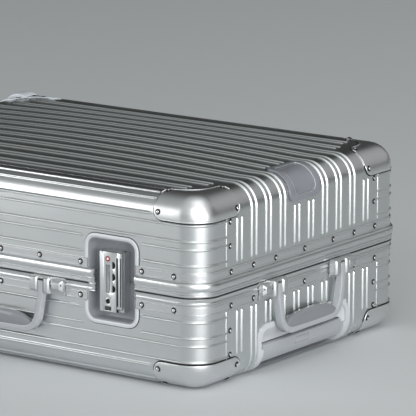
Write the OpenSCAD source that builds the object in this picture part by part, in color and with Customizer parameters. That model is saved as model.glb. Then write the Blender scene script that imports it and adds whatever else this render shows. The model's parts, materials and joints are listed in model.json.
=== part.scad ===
// Aluminium suitcase on four swivel casters, lying on its back.
// +X is the handle end, -X the caster end, -Y the lock side, +Y the hinge side, +Z the lid.
// The origin is on the plane the case lies on, below the middle of its body.
// Each half of the shell is drawn in its own height h: 0 at the parting line, growing towards
// the half's sheet. in_lid() and in_base() put it in place. Sections are drawn in (u, h),
// where u is the distance outwards from the sheet's outer face.

/* [Case] */
// Length of the body between its two end sheets
case_l = 620; // [570:5:700]
// Width of the body between its lock side and its hinge side
case_w = 446; // [420:2:500]
// Depth of each half, from the parting line to its sheet
half_h = 122; // [116:1:140]
// Radius of the upright corners
corner_r = 34; // [31:1:38]
// Radius of the bent edges
edge_r = 29; // [25:1:30]
// Thickness of the aluminium sheet
sheet_t = 1.2; // [0.8:0.1:1.5]
// Rise of the crowned lid at its middle
lid_crown = 6; // [3:0.5:8]
// Distance of the end seams from the long sides
seam_inset = 54; // [50:1:58]
// Overlap of the two sheets at a seam
seam_lap = 16; // [12:1:18]

/* [Ribs] */
// Distance between rib pairs on the lid, the back and the ends
rib_pitch = 31.5; // [30:0.5:33]
// Distance between rib pairs on the long sides
side_pitch = 30.4; // [29.6:0.2:31]
// Distance between the two beads of a pair
rib_gap = 10.2; // [9:0.2:11.4]
// Width of a bead
bead_w = 4.4; // [3.4:0.2:5.4]
// Height of a bead
bead_h = 2; // [1.4:0.1:2.4]

/* [Frame] */
// Height of a frame's outer flange
flange_h = 27; // [25:0.5:28]
// Thickness of a frame's flanges
flange_t = 1.5; // [1:0.1:2]
// Depth of the frames' meeting bars
bar_d = 8; // [6:0.5:10]
// Radius of the lid frame's round lip
lip_r = 4; // [3:0.25:4.25]
// Gap between the closed frames
parting_gap = 0.15; // [0.1:0.05:0.3]
// Height of the rivet rows above and below the parting line
rivet_h = 21.2; // [20:0.2:22]
// Radius of a rivet's head
rivet_r = 3.1; // [2.4:0.1:3.4]
// Height of a rivet's head
rivet_head = 1.7; // [1.2:0.1:2]

/* [Corner caps] */
// Length of a cap along the long side
cap_long = 72; // [70:1:78]
// Length of a cap along the end
cap_end = 82; // [74:1:83]
// Drop of the caps' lower edge below the face
cap_drop = 32.5; // [31:0.5:34]
// Thickness of a cap
cap_t = 1.2; // [0.8:0.1:1.5]
// Radius of a cap's inner curve on the face
cap_curve = 36; // [30:1:38]
// Gap between pieces seated on each other
seat_gap = 0.1; // [0.05:0.05:0.15]

/* [Badge] */
// Width of the badge plate
badge_w = 61; // [50:1:64]
// Drop of the badge plate's lower edge below the face
badge_drop = 34.5; // [31:0.5:42]
// Length of the badge plate on the lid's face
badge_l = 38; // [34:1:42]
// Thickness of the badge plate
badge_t = 2.6; // [2:0.1:3]

/* [Locks] */
// Distance of each lock's middle from the nearest end
lock_inset = 136; // [130:1:150]
// Width of a lock pan
pan_w = 83.5; // [78:0.5:88]
// Height of the lid's lock pans
pan_top = 60.5; // [56:0.5:64]
// Height of the base's lock pans
pan_bottom = 54.5; // [50:0.5:60]
// Corner radius of the lock pans
pan_r = 17; // [14:1:20]
// Width of a lock pan's rim
rim_w = 5.5; // [4:0.5:6]
// Depth of the lock pans
pan_d = 16; // [15.5:0.25:18]
// Width of a lock
lock_w = 33; // [31:0.5:36]
// Height of a lock above the parting line
lock_up = 39; // [38:0.5:42]
// Height of a lock below the parting line
lock_down = 37; // [36:0.5:40]
// Width of a lock's lever
lever_w = 8; // [7:0.25:9]
// Radius of a lock's number dial
dial_r = 7.6; // [7:0.1:7.8]
// Height of a lock's number dial
dial_h = 9.4; // [7:0.2:10.4]
// Distance between number dials
dial_pitch = 15.1; // [14.4:0.1:15.4]
// Running clearance of round fits
fit = 0.05; // [0.03:0.01:0.09]

/* [Carry handles] */
// Distance of a handle's arms from its middle
arm_x = 71; // [66:1:76]
// Width of a handle's arms
arm_w = 9; // [8:0.5:10]
// Drop of a hanging handle below the parting line
bail_drop = 78; // [72:1:84]
// Thickness of a handle
bail_t = 13; // [11:0.5:13.5]
// Height of a handle's grip
grip_h = 25; // [20:1:28]
// Radius of the grip's lower edge
grip_curve = 260; // [240:5:300]
// Radius of a handle's pins
handle_pin_r = 2.2; // [1.8:0.1:2.5]
// Distance of a handle's pins from the sheet
handle_pin_u = 9; // [8.5:0.25:9.5]
// Depth of a handle's pins below the parting line
handle_pin_h = 12; // [11:0.5:13]
// Length of the outer bracket cheeks
cheek_out = 27; // [22:1:30]
// Length of the inner bracket cheeks
cheek_in = 12; // [10:1:14]

/* [Pull handle] */
// Half width of the pull handle's recess
recess_w = 102; // [98:1:106]
// Drop of the recess's mouth below the face
recess_drop = 62; // [58:1:64]
// Depth of the recess behind the end
recess_d = 44; // [40:1:48]
// Radius of the recess's upper corners
recess_r = 22; // [16:1:26]
// Half width of the pull grip
pull_w = 88; // [86:1:92]
// Drop of the pull grip's upper edge below the face
pull_drop = 34; // [32:1:36]
// Height of the pull grip
pull_grip_h = 23; // [21:0.5:25]
// Depth of the pull grip
pull_d = 20; // [17:1:22]
// Distance of the pull tubes from the middle
tube_y = 70; // [64:1:72]
// Width of the fixed guides
guide_w = 24; // [22:0.5:26]
// Height of the fixed guides
guide_h = 18; // [17:0.5:18.5]
// Wall of the guides and tubes
tube_wall = 1.2; // [1:0.1:1.4]
// Clearance between one tube and the next
tube_gap = 0.2; // [0.1:0.05:0.3]
// Length of the fixed guides
guide_l = 530; // [500:5:535]

/* [Casters] */
// Distance of the swivel axes from the face and the long side
swivel_in = 47; // [46:1:50]
// Radius of a caster's wheels
wheel_r = 23; // [20:0.5:24]
// Width of one wheel disc
wheel_w = 10; // [8:0.5:11]
// Distance of a wheel's axle behind its swivel axis
trail = 11; // [9:0.5:12]
// Radius of a caster's stem
stem_r = 6; // [5:0.25:6.5]
// Length of a caster's stem in its housing
stem_l = 20; // [16:1:24]
// Radius of a caster's axle
axle_r = 3; // [2.5:0.25:3.5]
// Drop of the housings' edge below the face
housing_drop = 74; // [73:1:76]
// Thickness of the housings' wrapping plates
housing_t = 1.8; // [1.4:0.1:1.8]

/* [Hinges] */
// Distance of the outer hinges from the middle
hinge_x = 190; // [170:5:210]
// Length of a hinge
hinge_l = 60; // [50:2:70]
// Distance of the hinge pins from the sheet
hinge_u = 10; // [9.8:0.1:11]
// Radius of the hinge pins
hinge_pin_r = 2; // [1.6:0.1:2.4]
// Radius of the hinge knuckles
knuckle_r = 4.2; // [3.8:0.1:4.4]

/* [Lining] */
// Thickness of the lining
lining_t = 2; // [1:0.25:3]
// Gap between the lining and the sheets
lining_gap = 0.4; // [0.3:0.05:0.6]

/* [Hidden] */
$fn = 48;
parting_z = half_h + bead_h;
mid_l = case_l - 2 * corner_r;
mid_w = case_w - 2 * corner_r;
curve_h = half_h - edge_r;
cap_h = half_h - cap_drop;
badge_h = half_h - badge_drop;
recess_h = half_h - recess_drop;
pull_h = half_h - pull_drop;
housing_h = half_h - housing_drop;
seam_y = case_w / 2 - seam_inset;
seam_rivet_in = 7.5;
top_y = case_w / 2 - edge_r;
leg_w = seam_inset - corner_r;
end_pairs = floor((seam_y - seam_rivet_in - rivet_r - 1 - (rib_gap + bead_w) / 2) / rib_pitch + 0.5);
top_pairs = floor((top_y - rib_gap / 2 - bead_w) / rib_pitch + 0.5);
bead_start = flange_h + 4;
sheet_h = 12;
frame_in = -sheet_t - seat_gap;
web_t = flange_t;
side_levels = [for (k = [1:3], j = [-1, 1]) k * side_pitch + j * rib_gap / 2];
curve_levels = [for (j = [-1, 1]) 4 * side_pitch + j * rib_gap / 2];
low_levels = [for (h = side_levels) if (h > bead_start && h < cap_h - bead_w / 2) h];
high_levels = concat([for (h = side_levels) if (h > cap_h) h], curve_levels);
long_bead = case_l - 2 * (cap_long + 4);
lock_xs = [-case_l / 2 + lock_inset, case_l / 2 - lock_inset];
crown_x = case_l / 2 - 48;
crown_y = case_w / 2 - 43;
guide_u = half_h - sheet_t - 7.2 - guide_h / 2;
pan_rim_t = 1.6;
pan_rim = 4;
pan_wall = 3;
scoop_h = pull_h + 4;
pull_side = 2.5;
stage1_w = guide_w - 2 * (tube_wall + tube_gap);
stage1_h = guide_h - 2 * (tube_wall + tube_gap);
stage2_w = stage1_w - 2 * (tube_wall + tube_gap);
stage2_h = stage1_h - 2 * (tube_wall + tube_gap);
guide_end = case_l / 2 - recess_d - 3;
stage1_l = guide_l - 16;
stage2_l = stage1_l - 14;
swivel_y = case_w / 2 - swivel_in;
swivel_h = half_h + bead_h - swivel_in;
leg_mid = (cap_long + corner_r) / 2;
pad_u = 6;
disc_t = 4;
axle_u = pad_u + disc_t + wheel_r + 3;
leaf_u = lip_r + 1.3;
leaf_t = 1.6;
rail_xs = [-hinge_x, 0, hinge_x];
rivet_ys = [64.6, 113.2, 161.6];
end_rivet_ys = concat([0], rivet_ys, -rivet_ys);
lock_side_rivet_xs = [0, 62, 221, 270];
hinge_side_rivet_xs = [62, 120, hinge_x + hinge_l / 2 + 20, 270];
pan_rivet_x = lock_xs[1] - pan_w / 2 - 6;
seam_rivet_hs = [53.6, 84.2];
lid_cap_turn = 76;
base_cap_turn = 62;
dial_hs = [for (i = [-0.5:1:1.5]) i * dial_pitch];
lever_x = lock_w / 2 - lever_w / 2;
lever_t = 5;
lever_u = 2;
lever_pin_r = 1.2;
lever_pin_h = -lock_down + 6;
catch_x = lock_w / 2 - 7.1;
slot_x = -4.9;
dial_x = 0;
dial_room = dial_r + 0.4;
dial_u = lever_u - 0.9 - dial_room;
key_up = 13.3;
key_h = key_up - lock_down;
catch_h = 24;
bore_l = 2 * (arm_x + arm_w + cheek_out + cheek_in);
button_h = -lock_down + 4;
silver = [0.74, 0.75, 0.76];
bright = [0.85, 0.86, 0.87];
satin = [0.66, 0.67, 0.69];
pale = [0.70, 0.71, 0.74];
plate_u = flange_t + 1.1;
dark = [0.10, 0.10, 0.11];

// ---- placing ----

module in_lid() translate([0, 0, parting_z]) children();

module in_base() translate([0, 0, parting_z]) mirror([0, 0, 1]) children();

module both_ends() for (s = [0, 1]) mirror([s, 0, 0]) children();

module both_sides() for (s = [0, 1]) mirror([0, s, 0]) children();

// A section in (y, h) drawn out along X
module along_x(length) rotate([90, 0, 90]) linear_extrude(length, center = true) children();

// A section in (x, h) drawn out along Y
module along_y(length) rotate([90, 0, 0]) linear_extrude(length, center = true) children();

// A shape in (x, h) drawn outwards from the lock side, from distance u0 to u1
module on_lock_side(u0, u1)
    translate([0, -case_w / 2, 0]) rotate([90, 0, 0]) translate([0, 0, u0]) linear_extrude(u1 - u0) children();

// A shape in (y, h) drawn outwards from the handle end, from distance u0 to u1
module on_end(u0, u1)
    translate([case_l / 2, 0, 0]) rotate([90, 0, 90]) translate([0, 0, u0]) linear_extrude(u1 - u0) children();

// A (u, h) section taken once round the case
module around() {
    both_sides() translate([0, case_w / 2, 0]) along_x(mid_l) children();
    both_ends() translate([case_l / 2, 0, 0]) along_y(mid_w) children();
    both_ends() both_sides() corner_turn() children();
}

module corner_turn()
    translate([case_l / 2 - corner_r, case_w / 2 - corner_r, 0])
        rotate_extrude(angle = 90) translate([corner_r, 0]) children();

// ---- sections ----

// Upright wall of a sheet, from h0 to the bent edge
module wall_section(u, t, h0) translate([u, h0]) square([t, curve_h - h0]);

// Quarter ring of a bent edge
module curve_section(u, t)
    translate([-edge_r, curve_h]) intersection() {
        difference() {
            circle(edge_r + u + t);
            circle(edge_r + u);
        }
        square(edge_r + u + t + 1);
    }

// One bead at distance s along the sheet, measured from the parting line
module bead_section(s) {
    turn = (s - curve_h) / edge_r * 180 / PI;
    if (turn <= 0)
        translate([-sheet_t / 2, s - bead_w / 2]) square([bead_h + sheet_t / 2, bead_w]);
    else
        translate([-edge_r, curve_h]) rotate(turn)
            translate([edge_r - sheet_t / 2, -bead_w / 2]) square([bead_h + sheet_t / 2, bead_w]);
}

// Outline of one half seen from the side, u outside its sheet, starting at h0
module half_outline(u, h0) {
    translate([-case_l / 2 - u, h0]) square([case_l + 2 * u, curve_h - h0]);
    translate([-case_l / 2 + edge_r, h0]) square([case_l - 2 * edge_r, half_h + u - h0]);
    for (s = [-1, 1]) translate([s * (case_l / 2 - edge_r), curve_h]) circle(edge_r + u);
}

// The bent strip between two offsets of that outline
module bent_strip(u0, u1, h0)
    difference() {
        half_outline(u1, h0);
        half_outline(u0, h0 - 5);
    }

// Outline of one half seen from its end, u outside its sheet
module end_outline(u, h0) {
    translate([-case_w / 2 - u, h0]) square([case_w + 2 * u, curve_h - h0]);
    translate([-case_w / 2 + edge_r, h0]) square([case_w - 2 * edge_r, half_h + u - h0]);
    for (s = [-1, 1]) translate([s * (case_w / 2 - edge_r), curve_h]) circle(edge_r + u);
}

// Solid of one half, u outside its sheets, from height h0
module half_solid(u, h0) {
    along_x(mid_l) end_outline(u, h0);
    along_y(mid_w) half_outline(u, h0);
    for (x = [-1, 1], y = [-1, 1]) translate([x * mid_l / 2, y * mid_w / 2, 0]) rotate_extrude() corner_outline(u, h0);
}

// Outline of an upright corner from its centre
module corner_outline(u, h0) {
    translate([0, h0]) square([corner_r + u, curve_h - h0]);
    translate([0, h0]) square([corner_r - edge_r, half_h + u - h0]);
    intersection() {
        translate([corner_r - edge_r, curve_h]) circle(edge_r + u);
        square([corner_r + u, half_h + u]);
    }
}

// ---- sheets ----

function pair_ys(i) = [for (s = [-1, 1], j = [-1, 1]) s * (i + 0.5) * rib_pitch + j * rib_gap / 2];

// The face of a half with both bent ends. Beads are cut away below the caps and round the recess.
module face_sheet() {
    along_y(2 * seam_y) bent_strip(-sheet_t, 0, sheet_h);
    both_sides() translate([0, (seam_y + top_y) / 2 - 0.5, half_h - sheet_t / 2])
        cube([case_l - 2 * edge_r - 4, top_y - seam_y + 1, sheet_t], center = true);
    for (i = [0:top_pairs - 1], y = pair_ys(i)) face_bead(i, y);
}

module face_bead(i, y) {
    under_cap = case_w / 2 - abs(y) < cap_end + bead_w;
    translate([0, y, 0])
        if (i >= end_pairs)
            flat_bead(case_l - 2 * cap_long + 36);
        else if (under_cap) {
            intersection() {
                along_y(bead_w) bent_strip(-sheet_t / 2, bead_h, bead_start);
                translate([0, 0, cap_h / 2 - 2]) cube([2 * case_l, 2 * bead_w, cap_h], center = true);
            }
            flat_bead(case_l - 2 * edge_r - 30);
        }
        else
            along_y(bead_w) bent_strip(-sheet_t / 2, bead_h, bead_start);
}

module flat_bead(length)
    translate([-length / 2, -bead_w / 2, half_h - sheet_t / 2]) cube([length, bead_w, bead_h + sheet_t / 2]);

// Low dome between two crowned outlines, drop below the lid's crown
module crown_solid(drop)
    intersection() {
        along_x(2 * crown_x) crown_outline(crown_y, drop);
        along_y(2 * crown_y) crown_outline(crown_x, drop);
    }

module crown_outline(reach, drop) {
    big_r = (reach * reach + lid_crown * lid_crown) / (2 * lid_crown);
    intersection() {
        translate([0, half_h + lid_crown - drop - big_r]) circle(big_r, $fn = 1440);
        translate([-reach, half_h - sheet_t - 1]) square([2 * reach, lid_crown + 20]);
    }
}

module crowned_face() {
    difference() {
        union() {
            face_sheet();
            crown_solid(0);
            intersection() {
                crown_solid(-bead_h);
                for (i = [0:top_pairs - 1], y = pair_ys(i))
                    translate([0, y, half_h]) cube([case_l, bead_w, 60], center = true);
            }
        }
        crown_solid(sheet_t);
    }
}

module badge_bed()
    translate([case_l / 2 - badge_l - 5 + 50, 0, badge_h - 5 + 50]) cube([100, badge_w + 8, 100], center = true);

module lid_face_sheet()
    color(silver) in_lid() difference() {
        crowned_face();
        difference() {
            badge_bed();
            along_y(case_w) half_outline(0, 0);
        }
        stem_holes();
    }

module base_back_sheet()
    color(silver) in_base() difference() {
        face_sheet();
        stem_holes();
        recess_cut(0.3);
        difference() {
            on_end(-edge_r, edge_r) recess_outline(0.6);
            along_y(case_w) half_outline(0, 0);
        }
    }

// The sheet of one long side, with its legs on both ends, drawn on the +Y side
module side_sheet() {
    translate([0, case_w / 2, 0]) along_x(mid_l) {
        wall_section(-sheet_t, sheet_t, sheet_h);
        curve_section(-sheet_t, sheet_t);
        for (h = low_levels) if (h < housing_h - 4) bead_section(h);
    }
    translate([0, case_w / 2, 0]) along_x(long_bead) for (h = high_levels) bead_section(h);
    translate([(mid_l - long_bead) / 4, case_w / 2, 0]) along_x((mid_l + long_bead) / 2)
        for (h = low_levels) if (h >= housing_h - 4) bead_section(h);
    wrap_corner(curve_h);
    mirror([1, 0, 0]) wrap_corner(housing_h - 4);
    both_ends() {
        translate([case_l / 2, seam_y - seam_lap / 2 + 1.5, 0]) along_y(seam_lap + 3)
            wall_section(-2 * sheet_t, sheet_t, flange_h + 1);
        translate([case_l / 2, seam_y + 1.5, 0]) along_y(3)
            wall_section(-2 * sheet_t, sheet_t + 0.4, flange_h + 1);
    }
}

// The sheet's turn round an upright corner and its leg on the end, with the beads below a height
module wrap_corner(limit) {
    corner_turn() wrap_section(limit);
    translate([case_l / 2, case_w / 2 - corner_r - leg_w / 2, 0]) along_y(leg_w) wrap_section(limit);
}

module wrap_section(limit) {
    wall_section(-sheet_t, sheet_t, sheet_h);
    for (h = low_levels) if (h < limit) bead_section(h);
}

// Holes in a side sheet for the lock pans, and the bare border round them
module pan_holes(height) {
    for (x = lock_xs) translate([x, 0, 0]) {
        on_lock_side(-2 * sheet_t, 3) pan_outline(-rim_w, height, -1);
        on_lock_side(0, 3) pan_outline(4, height, -1);
    }
}

// U-shaped outline of a pan, o outside its rim, from h0 up
module pan_outline(o, height, h0) {
    w = pan_w / 2 + o;
    r = pan_r + o;
    translate([-w, h0]) square([2 * w, height + o - r - h0]);
    translate([r - w, h0]) square([2 * (w - r), height + o - h0]);
    intersection() {
        for (s = [-1, 1]) translate([s * (w - r), height + o - r]) circle(r);
        translate([-w, h0]) square([2 * w, height + o - h0]);
    }
}

module lid_lock_side_sheet()
    color(silver) in_lid() difference() {
        mirror([0, 1, 0]) side_sheet();
        pan_holes(pan_top);
        stem_holes();
    }

module lid_hinge_side_sheet()
    color(silver) in_lid() difference() {
        side_sheet();
        stem_holes();
    }

module base_lock_side_sheet()
    color(silver) in_base() difference() {
        mirror([0, 1, 0]) side_sheet();
        pan_holes(pan_bottom);
        stem_holes();
    }

module base_hinge_side_sheet()
    color(silver) in_base() difference() {
        side_sheet();
        stem_holes();
    }

// ---- frames ----

// Outer flange, inner web and meeting bar, with the slot between them for the sheets
module frame_section(h0) {
    translate([seat_gap, 9]) square([flange_t, flange_h - 9]);
    translate([frame_in - web_t, h0]) square([web_t, flange_h - h0]);
    translate([-bar_d, h0]) square([bar_d + seat_gap + flange_t, 3]);
    translate([frame_in - web_t, h0]) square([web_t - frame_in + seat_gap + flange_t, 10]);
}

module lid_frame_section() {
    frame_section(parting_gap);
    translate([1, 6.6]) circle(lip_r);
}

module base_frame_section() {
    difference() {
        frame_section(0);
        translate([0.6, 4]) square([3, 4.6]);
    }
    translate([0, 0.4]) square([3.2, 3.2]);
    translate([seat_gap, 11]) square([flange_t + 0.9, 1.6]);
}

// Room for the lock pans through a frame, and the tie bars that go round behind them
module frame_gaps()
    for (x = lock_xs) translate([x, -case_w / 2, 0]) cube([pan_w - 2 * rim_w + 2.4, 2 * pan_d, 80], center = true);

module frame_ties(h0)
    for (x = lock_xs) {
        translate([x, -case_w / 2 + pan_d + 6, h0 + 6]) cube([pan_w + 10, 4, 12], center = true);
        for (s = [-1, 1])
            translate([x + s * (pan_w / 2 + 1), -case_w / 2 + 1.2 + (pan_d + 6) / 2, h0 + 6])
                cube([8, pan_d + 6, 12], center = true);
    }

module lid_frame()
    color(satin) in_lid() {
        difference() {
            around() lid_frame_section();
            frame_gaps();
        }
        frame_ties(parting_gap);
    }

module base_frame()
    color(satin) in_base() {
        difference() {
            around() base_frame_section();
            frame_gaps();
        }
        frame_ties(0);
    }

module frame_seal()
    color(dark) in_base() difference() {
        around() translate([0.6 + seat_gap, 4.2]) square([1.6, 4.2]);
        frame_gaps();
    }

// ---- corner caps ----

module cap_section() {
    wall_section(seat_gap, cap_t, cap_h);
    curve_section(seat_gap, cap_t);
}

// A cap on the handle end's +Y corner
module corner_cap() {
    corner_turn() cap_section();
    translate([case_l / 2 - (cap_long + corner_r) / 2, case_w / 2, 0]) along_x(cap_long - corner_r) cap_section();
    translate([case_l / 2, case_w / 2 - (cap_end + corner_r) / 2, 0]) along_y(cap_end - corner_r) cap_section();
    translate([case_l / 2, case_w / 2, half_h + seat_gap]) linear_extrude(cap_t) cap_web();
}

// The web of a cap on the face, bounded by its inner curve
module cap_web() {
    reach = edge_r + cap_curve;
    difference() {
        translate([-reach, -reach]) square(cap_curve);
        translate([-reach, -reach]) circle(cap_curve);
        translate([-corner_r, -corner_r]) square(corner_r - edge_r);
    }
    translate([-corner_r, -corner_r]) intersection() {
        circle(corner_r - edge_r);
        square(corner_r);
    }
}

module lid_corner_caps() color(satin) in_lid() both_sides() corner_cap();

module base_corner_caps() color(satin) in_base() both_sides() corner_cap();

// ---- rivets ----

function under_bracket(x) = abs(x) > arm_x - arm_w / 2 - cheek_in - 4 && abs(x) < arm_x + arm_w / 2 + cheek_out + 4;

// A domed head standing on the plane h = 0
module rivet() {
    ball_r = (rivet_r * rivet_r + rivet_head * rivet_head) / (2 * rivet_head);
    intersection() {
        translate([0, 0, rivet_head - ball_r]) sphere(ball_r, $fn = 32);
        cylinder(r = rivet_r + 1, h = rivet_head + 1);
    }
}

module rivet_on_side(x, u, h) translate([x, case_w / 2 + u, h]) rotate([-90, 0, 0]) rivet();

module rivet_on_end(y, u, h) translate([case_l / 2 + u, y, h]) rotate([0, 90, 0]) rivet();

// A rivet on the bent part of a cap, turned by an angle from the wall to the face
module cap_rivet_side(x, turn)
    translate([x, case_w / 2 - edge_r, curve_h]) rotate([turn, 0, 0])
        translate([0, edge_r + seat_gap + cap_t, 0]) rotate([-90, 0, 0]) rivet();

module cap_rivet_end(y, turn)
    translate([case_l / 2 - edge_r, y, curve_h]) rotate([0, -turn, 0])
        translate([edge_r + seat_gap + cap_t, 0, 0]) rotate([0, 90, 0]) rivet();

// The rivets of one half, its topmost cap rivets turned by high_turn. Those under the handle
// brackets are left out where covered is true.
module half_rivets(covered, high_turn) {
    flange_u = seat_gap + flange_t;
    both_ends() for (y = end_rivet_ys) if (!covered || !under_bracket(y)) rivet_on_end(y, flange_u, rivet_h);
    both_sides() for (h = seam_rivet_hs) rivet_on_end(seam_y - seam_rivet_in, 0, h);
    for (s = [-1, 1], x = lock_side_rivet_xs) if ((x > 0 || s > 0) && (!covered || !under_bracket(x)))
        mirror([0, 1, 0]) rivet_on_side(s * x, flange_u, rivet_h);
    if (!covered || !under_bracket(pan_rivet_x))
        both_ends() mirror([0, 1, 0]) rivet_on_side(pan_rivet_x, flange_u, rivet_h);
    both_ends() for (x = hinge_side_rivet_xs) rivet_on_side(x, flange_u, rivet_h);
    both_sides() for (turn = [12, high_turn]) {
        cap_rivet_side(case_l / 2 - cap_long + 7, turn);
        cap_rivet_end(case_w / 2 - cap_end + 7, turn);
    }
}

module lid_rivets() color(bright) in_lid() half_rivets(false, lid_cap_turn);

module base_rivets() color(bright) in_base() half_rivets(true, base_cap_turn);

// ---- lock pans ----

module lock_pan(height) {
    on_lock_side(seat_gap, 2.4) difference() {
        pan_outline(0, height, flange_h + 0.5);
        pan_outline(-rim_w, height, flange_h - 1);
    }
    on_lock_side(-pan_d, 1) difference() {
        pan_outline(-rim_w - seat_gap, height, 0.2);
        pan_outline(-rim_w - seat_gap - 1.2, height, -1);
    }
    on_lock_side(0.5, 2.4) difference() {
        pan_outline(-rim_w + 1, height, flange_h + 0.5);
        pan_outline(-rim_w - seat_gap - 1, height, flange_h - 1);
    }
    on_lock_side(-pan_d - 1.2, -pan_d) pan_outline(-rim_w - seat_gap, height, 0.2);
}

module lid_lock_pans() color(pale) in_lid() for (x = lock_xs) translate([x, 0, 0]) lock_pan(pan_top);

module base_lock_pans() color(pale) in_base() for (x = lock_xs) translate([x, 0, 0]) lock_pan(pan_bottom);

// ---- badge ----

// Bare plate over the lid's bend, with a sunk inner panel
module badge_plate()
    color(pale) in_lid() difference() {
        intersection() {
            along_y(badge_w) bent_strip(seat_gap, badge_t + seat_gap, badge_h);
            badge_field(0);
        }
        intersection() {
            along_y(badge_w - 26) bent_strip(badge_t - 0.6, badge_t + 5, badge_h);
            badge_field(6);
        }
    }

module badge_field(inset)
    translate([case_l / 2 - badge_l + inset, -case_w / 2, badge_h + inset]) cube([badge_l + 10, case_w, half_h]);

// ---- linings ----

module lining_shell()
    difference() {
        half_solid(-sheet_t - lining_gap, flange_h + 1.5);
        half_solid(-sheet_t - lining_gap - lining_t, flange_h - 1);
        for (x = lock_xs) translate([x, -case_w / 2, 0])
            cube([pan_w + 4, 60, 2 * max(pan_top, pan_bottom) + 6], center = true);
        stem_room();
        both_ends() both_sides() translate([case_l / 2, seam_y - seam_lap / 2 + 1.5, curve_h / 2])
            cube([2 * (2 * sheet_t + lining_gap), seam_lap + 8, curve_h + 10], center = true);
    }

module lid_lining() color([0.42, 0.43, 0.45]) in_lid() lining_shell();

// The base's lining has two raised covers over the pull handle's guides
module base_lining()
    color([0.42, 0.43, 0.45]) in_base() difference() {
        union() {
            lining_shell();
            guide_rooms(2);
        }
        guide_rooms(0);
        recess_cut(3.4);
    }

module guide_rooms(grow) {
    low = guide_u - guide_h / 2 - 0.6 - grow;
    high = half_h - sheet_t - lining_gap - (grow > 0 ? 0.5 : -1);
    both_sides() translate([guide_end - guide_l / 2, tube_y, (low + high) / 2])
        cube([guide_l + 2 + 2 * grow, guide_w + 1.2 + 2 * grow, high - low], center = true);
}

// ---- hinges ----

// A leaf: plate in front of the frame's lip, foot on its flange, arms down to its knuckles
module leaf(knuckles) {
    seat_u = flange_t + 2 * seat_gap;
    arm_l = hinge_l / 5 - 0.3;
    difference() {
        union() {
            translate([-hinge_l / 2, case_w / 2 + leaf_u, knuckle_r + 0.6])
                cube([hinge_l, leaf_t, flange_h - knuckle_r - 0.6]);
            translate([-hinge_l / 2, case_w / 2 + seat_u, 13]) cube([hinge_l, leaf_u + 0.2 - seat_u, flange_h - 13]);
            for (k = knuckles) translate([k * hinge_l, case_w / 2, 0]) {
                translate([0, hinge_u, 0]) rotate([0, 90, 0]) cylinder(r = knuckle_r, h = arm_l, center = true);
                translate([-arm_l / 2, leaf_u, 0]) cube([arm_l, hinge_u - leaf_u, knuckle_r]);
                translate([-arm_l / 2, leaf_u, 0]) cube([arm_l, leaf_t, knuckle_r + 1]);
            }
        }
        translate([0, case_w / 2 + hinge_u, 0]) rotate([0, 90, 0])
            cylinder(r = hinge_pin_r + fit, h = 2 * hinge_l, center = true);
    }
}

module lid_hinge_leaves() color(satin) in_lid() for (x = rail_xs) translate([x, 0, 0]) leaf([-0.2, 0.2]);

module base_hinge_leaves()
    color(satin) in_base() for (x = rail_xs) translate([x, 0, 0]) leaf([-0.4, 0, 0.4]);

module hinge_pins()
    color(satin) in_lid() for (x = rail_xs)
        translate([x, case_w / 2 + hinge_u, 0]) rotate([0, 90, 0])
            cylinder(r = hinge_pin_r, h = hinge_l + 2, center = true);

// ---- locks ----

// Everything of a lock is drawn in (x, -u, h) round the lock's middle at the parting line
module at_lock(x) in_lid() translate([x, -case_w / 2, 0]) children();

module lock_catches()
    color(satin) for (x = lock_xs) at_lock(x) {
        translate([catch_x, pan_d - 8, 6]) cube([6, 8 - seat_gap, catch_h]);
    }

module lock_body(x)
    color(satin) at_lock(x) difference() {
        union() {
            lock_block(-lever_u, pan_d - 0.8, lock_w - lever_w - 0.4, lock_up);
            lock_block(lever_t - lever_u + 0.3, pan_d - 0.8, lock_w, lock_up);
            lock_block(pan_d - 1, pan_d, lock_w, -4);
            lock_block(-lever_u - 1, 1, 4.6, lock_up);
            translate([lock_w / 2 - lever_w - 1, lever_t / 2 - lever_u, lever_pin_h])
                rotate([0, 90, 0]) cylinder(r = lever_pin_r, h = lever_w + 0.8);
        }
        for (h = dial_hs) {
            translate([dial_x, -dial_u, h]) cylinder(r = dial_room, h = dial_h + 0.6, center = true);
            thumb_notch(h);
        }
        translate([slot_x - 2.2, -lever_u - 1, -12.5]) cube([4.4, 5, 34.5]);
        translate([slot_x, 0, key_h]) rotate([90, 0, 0]) cylinder(r = 4 + fit, h = 30, center = true);
        translate([slot_x, -lever_u + 3, button_h]) cube([10.2, 10, 5.2], center = true);
        translate([catch_x - 0.4, pan_d - 8.6, -1]) cube([6.8, 10, lock_up + 2]);
    }

// A block of a lock from its left side, between depths y0 and y1, up to height h1
module lock_block(y0, y1, width, h1)
    translate([-lock_w / 2, y0, -lock_down]) cube([width, y1 - y0, h1 + lock_down]);

// Half-moon opening through which a thumb turns a dial
module thumb_notch(h)
    translate([2.4, -lever_u - 1, h]) rotate([-90, 0, 0]) intersection() {
        cylinder(r = 4.4, h = 5);
        translate([0, -5, 0]) cube([5, 10, 5]);
    }

// A lever with its pin hole at the lower end, which is rounded about the pin
module lock_lever(x)
    color(silver) at_lock(x) difference() {
        translate([lever_x - lever_w / 2, lever_t / 2 - lever_u, lever_pin_h])
            rotate([0, 90, 0]) linear_extrude(lever_w) {
                circle(lever_t / 2);
                translate([-lock_up + lever_pin_h, -lever_t / 2]) square([lock_up - lever_pin_h, lever_t]);
            }
        translate([lever_x, lever_t / 2 - lever_u, lever_pin_h])
            rotate([0, 90, 0]) cylinder(r = lever_pin_r + fit, h = 2 * lever_w, center = true);
    }

module dial(x, i)
    color([0.8, 0.8, 0.8]) at_lock(x) translate([dial_x, -dial_u, dial_hs[i]])
        cylinder(r = dial_r, h = dial_h, center = true);

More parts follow.
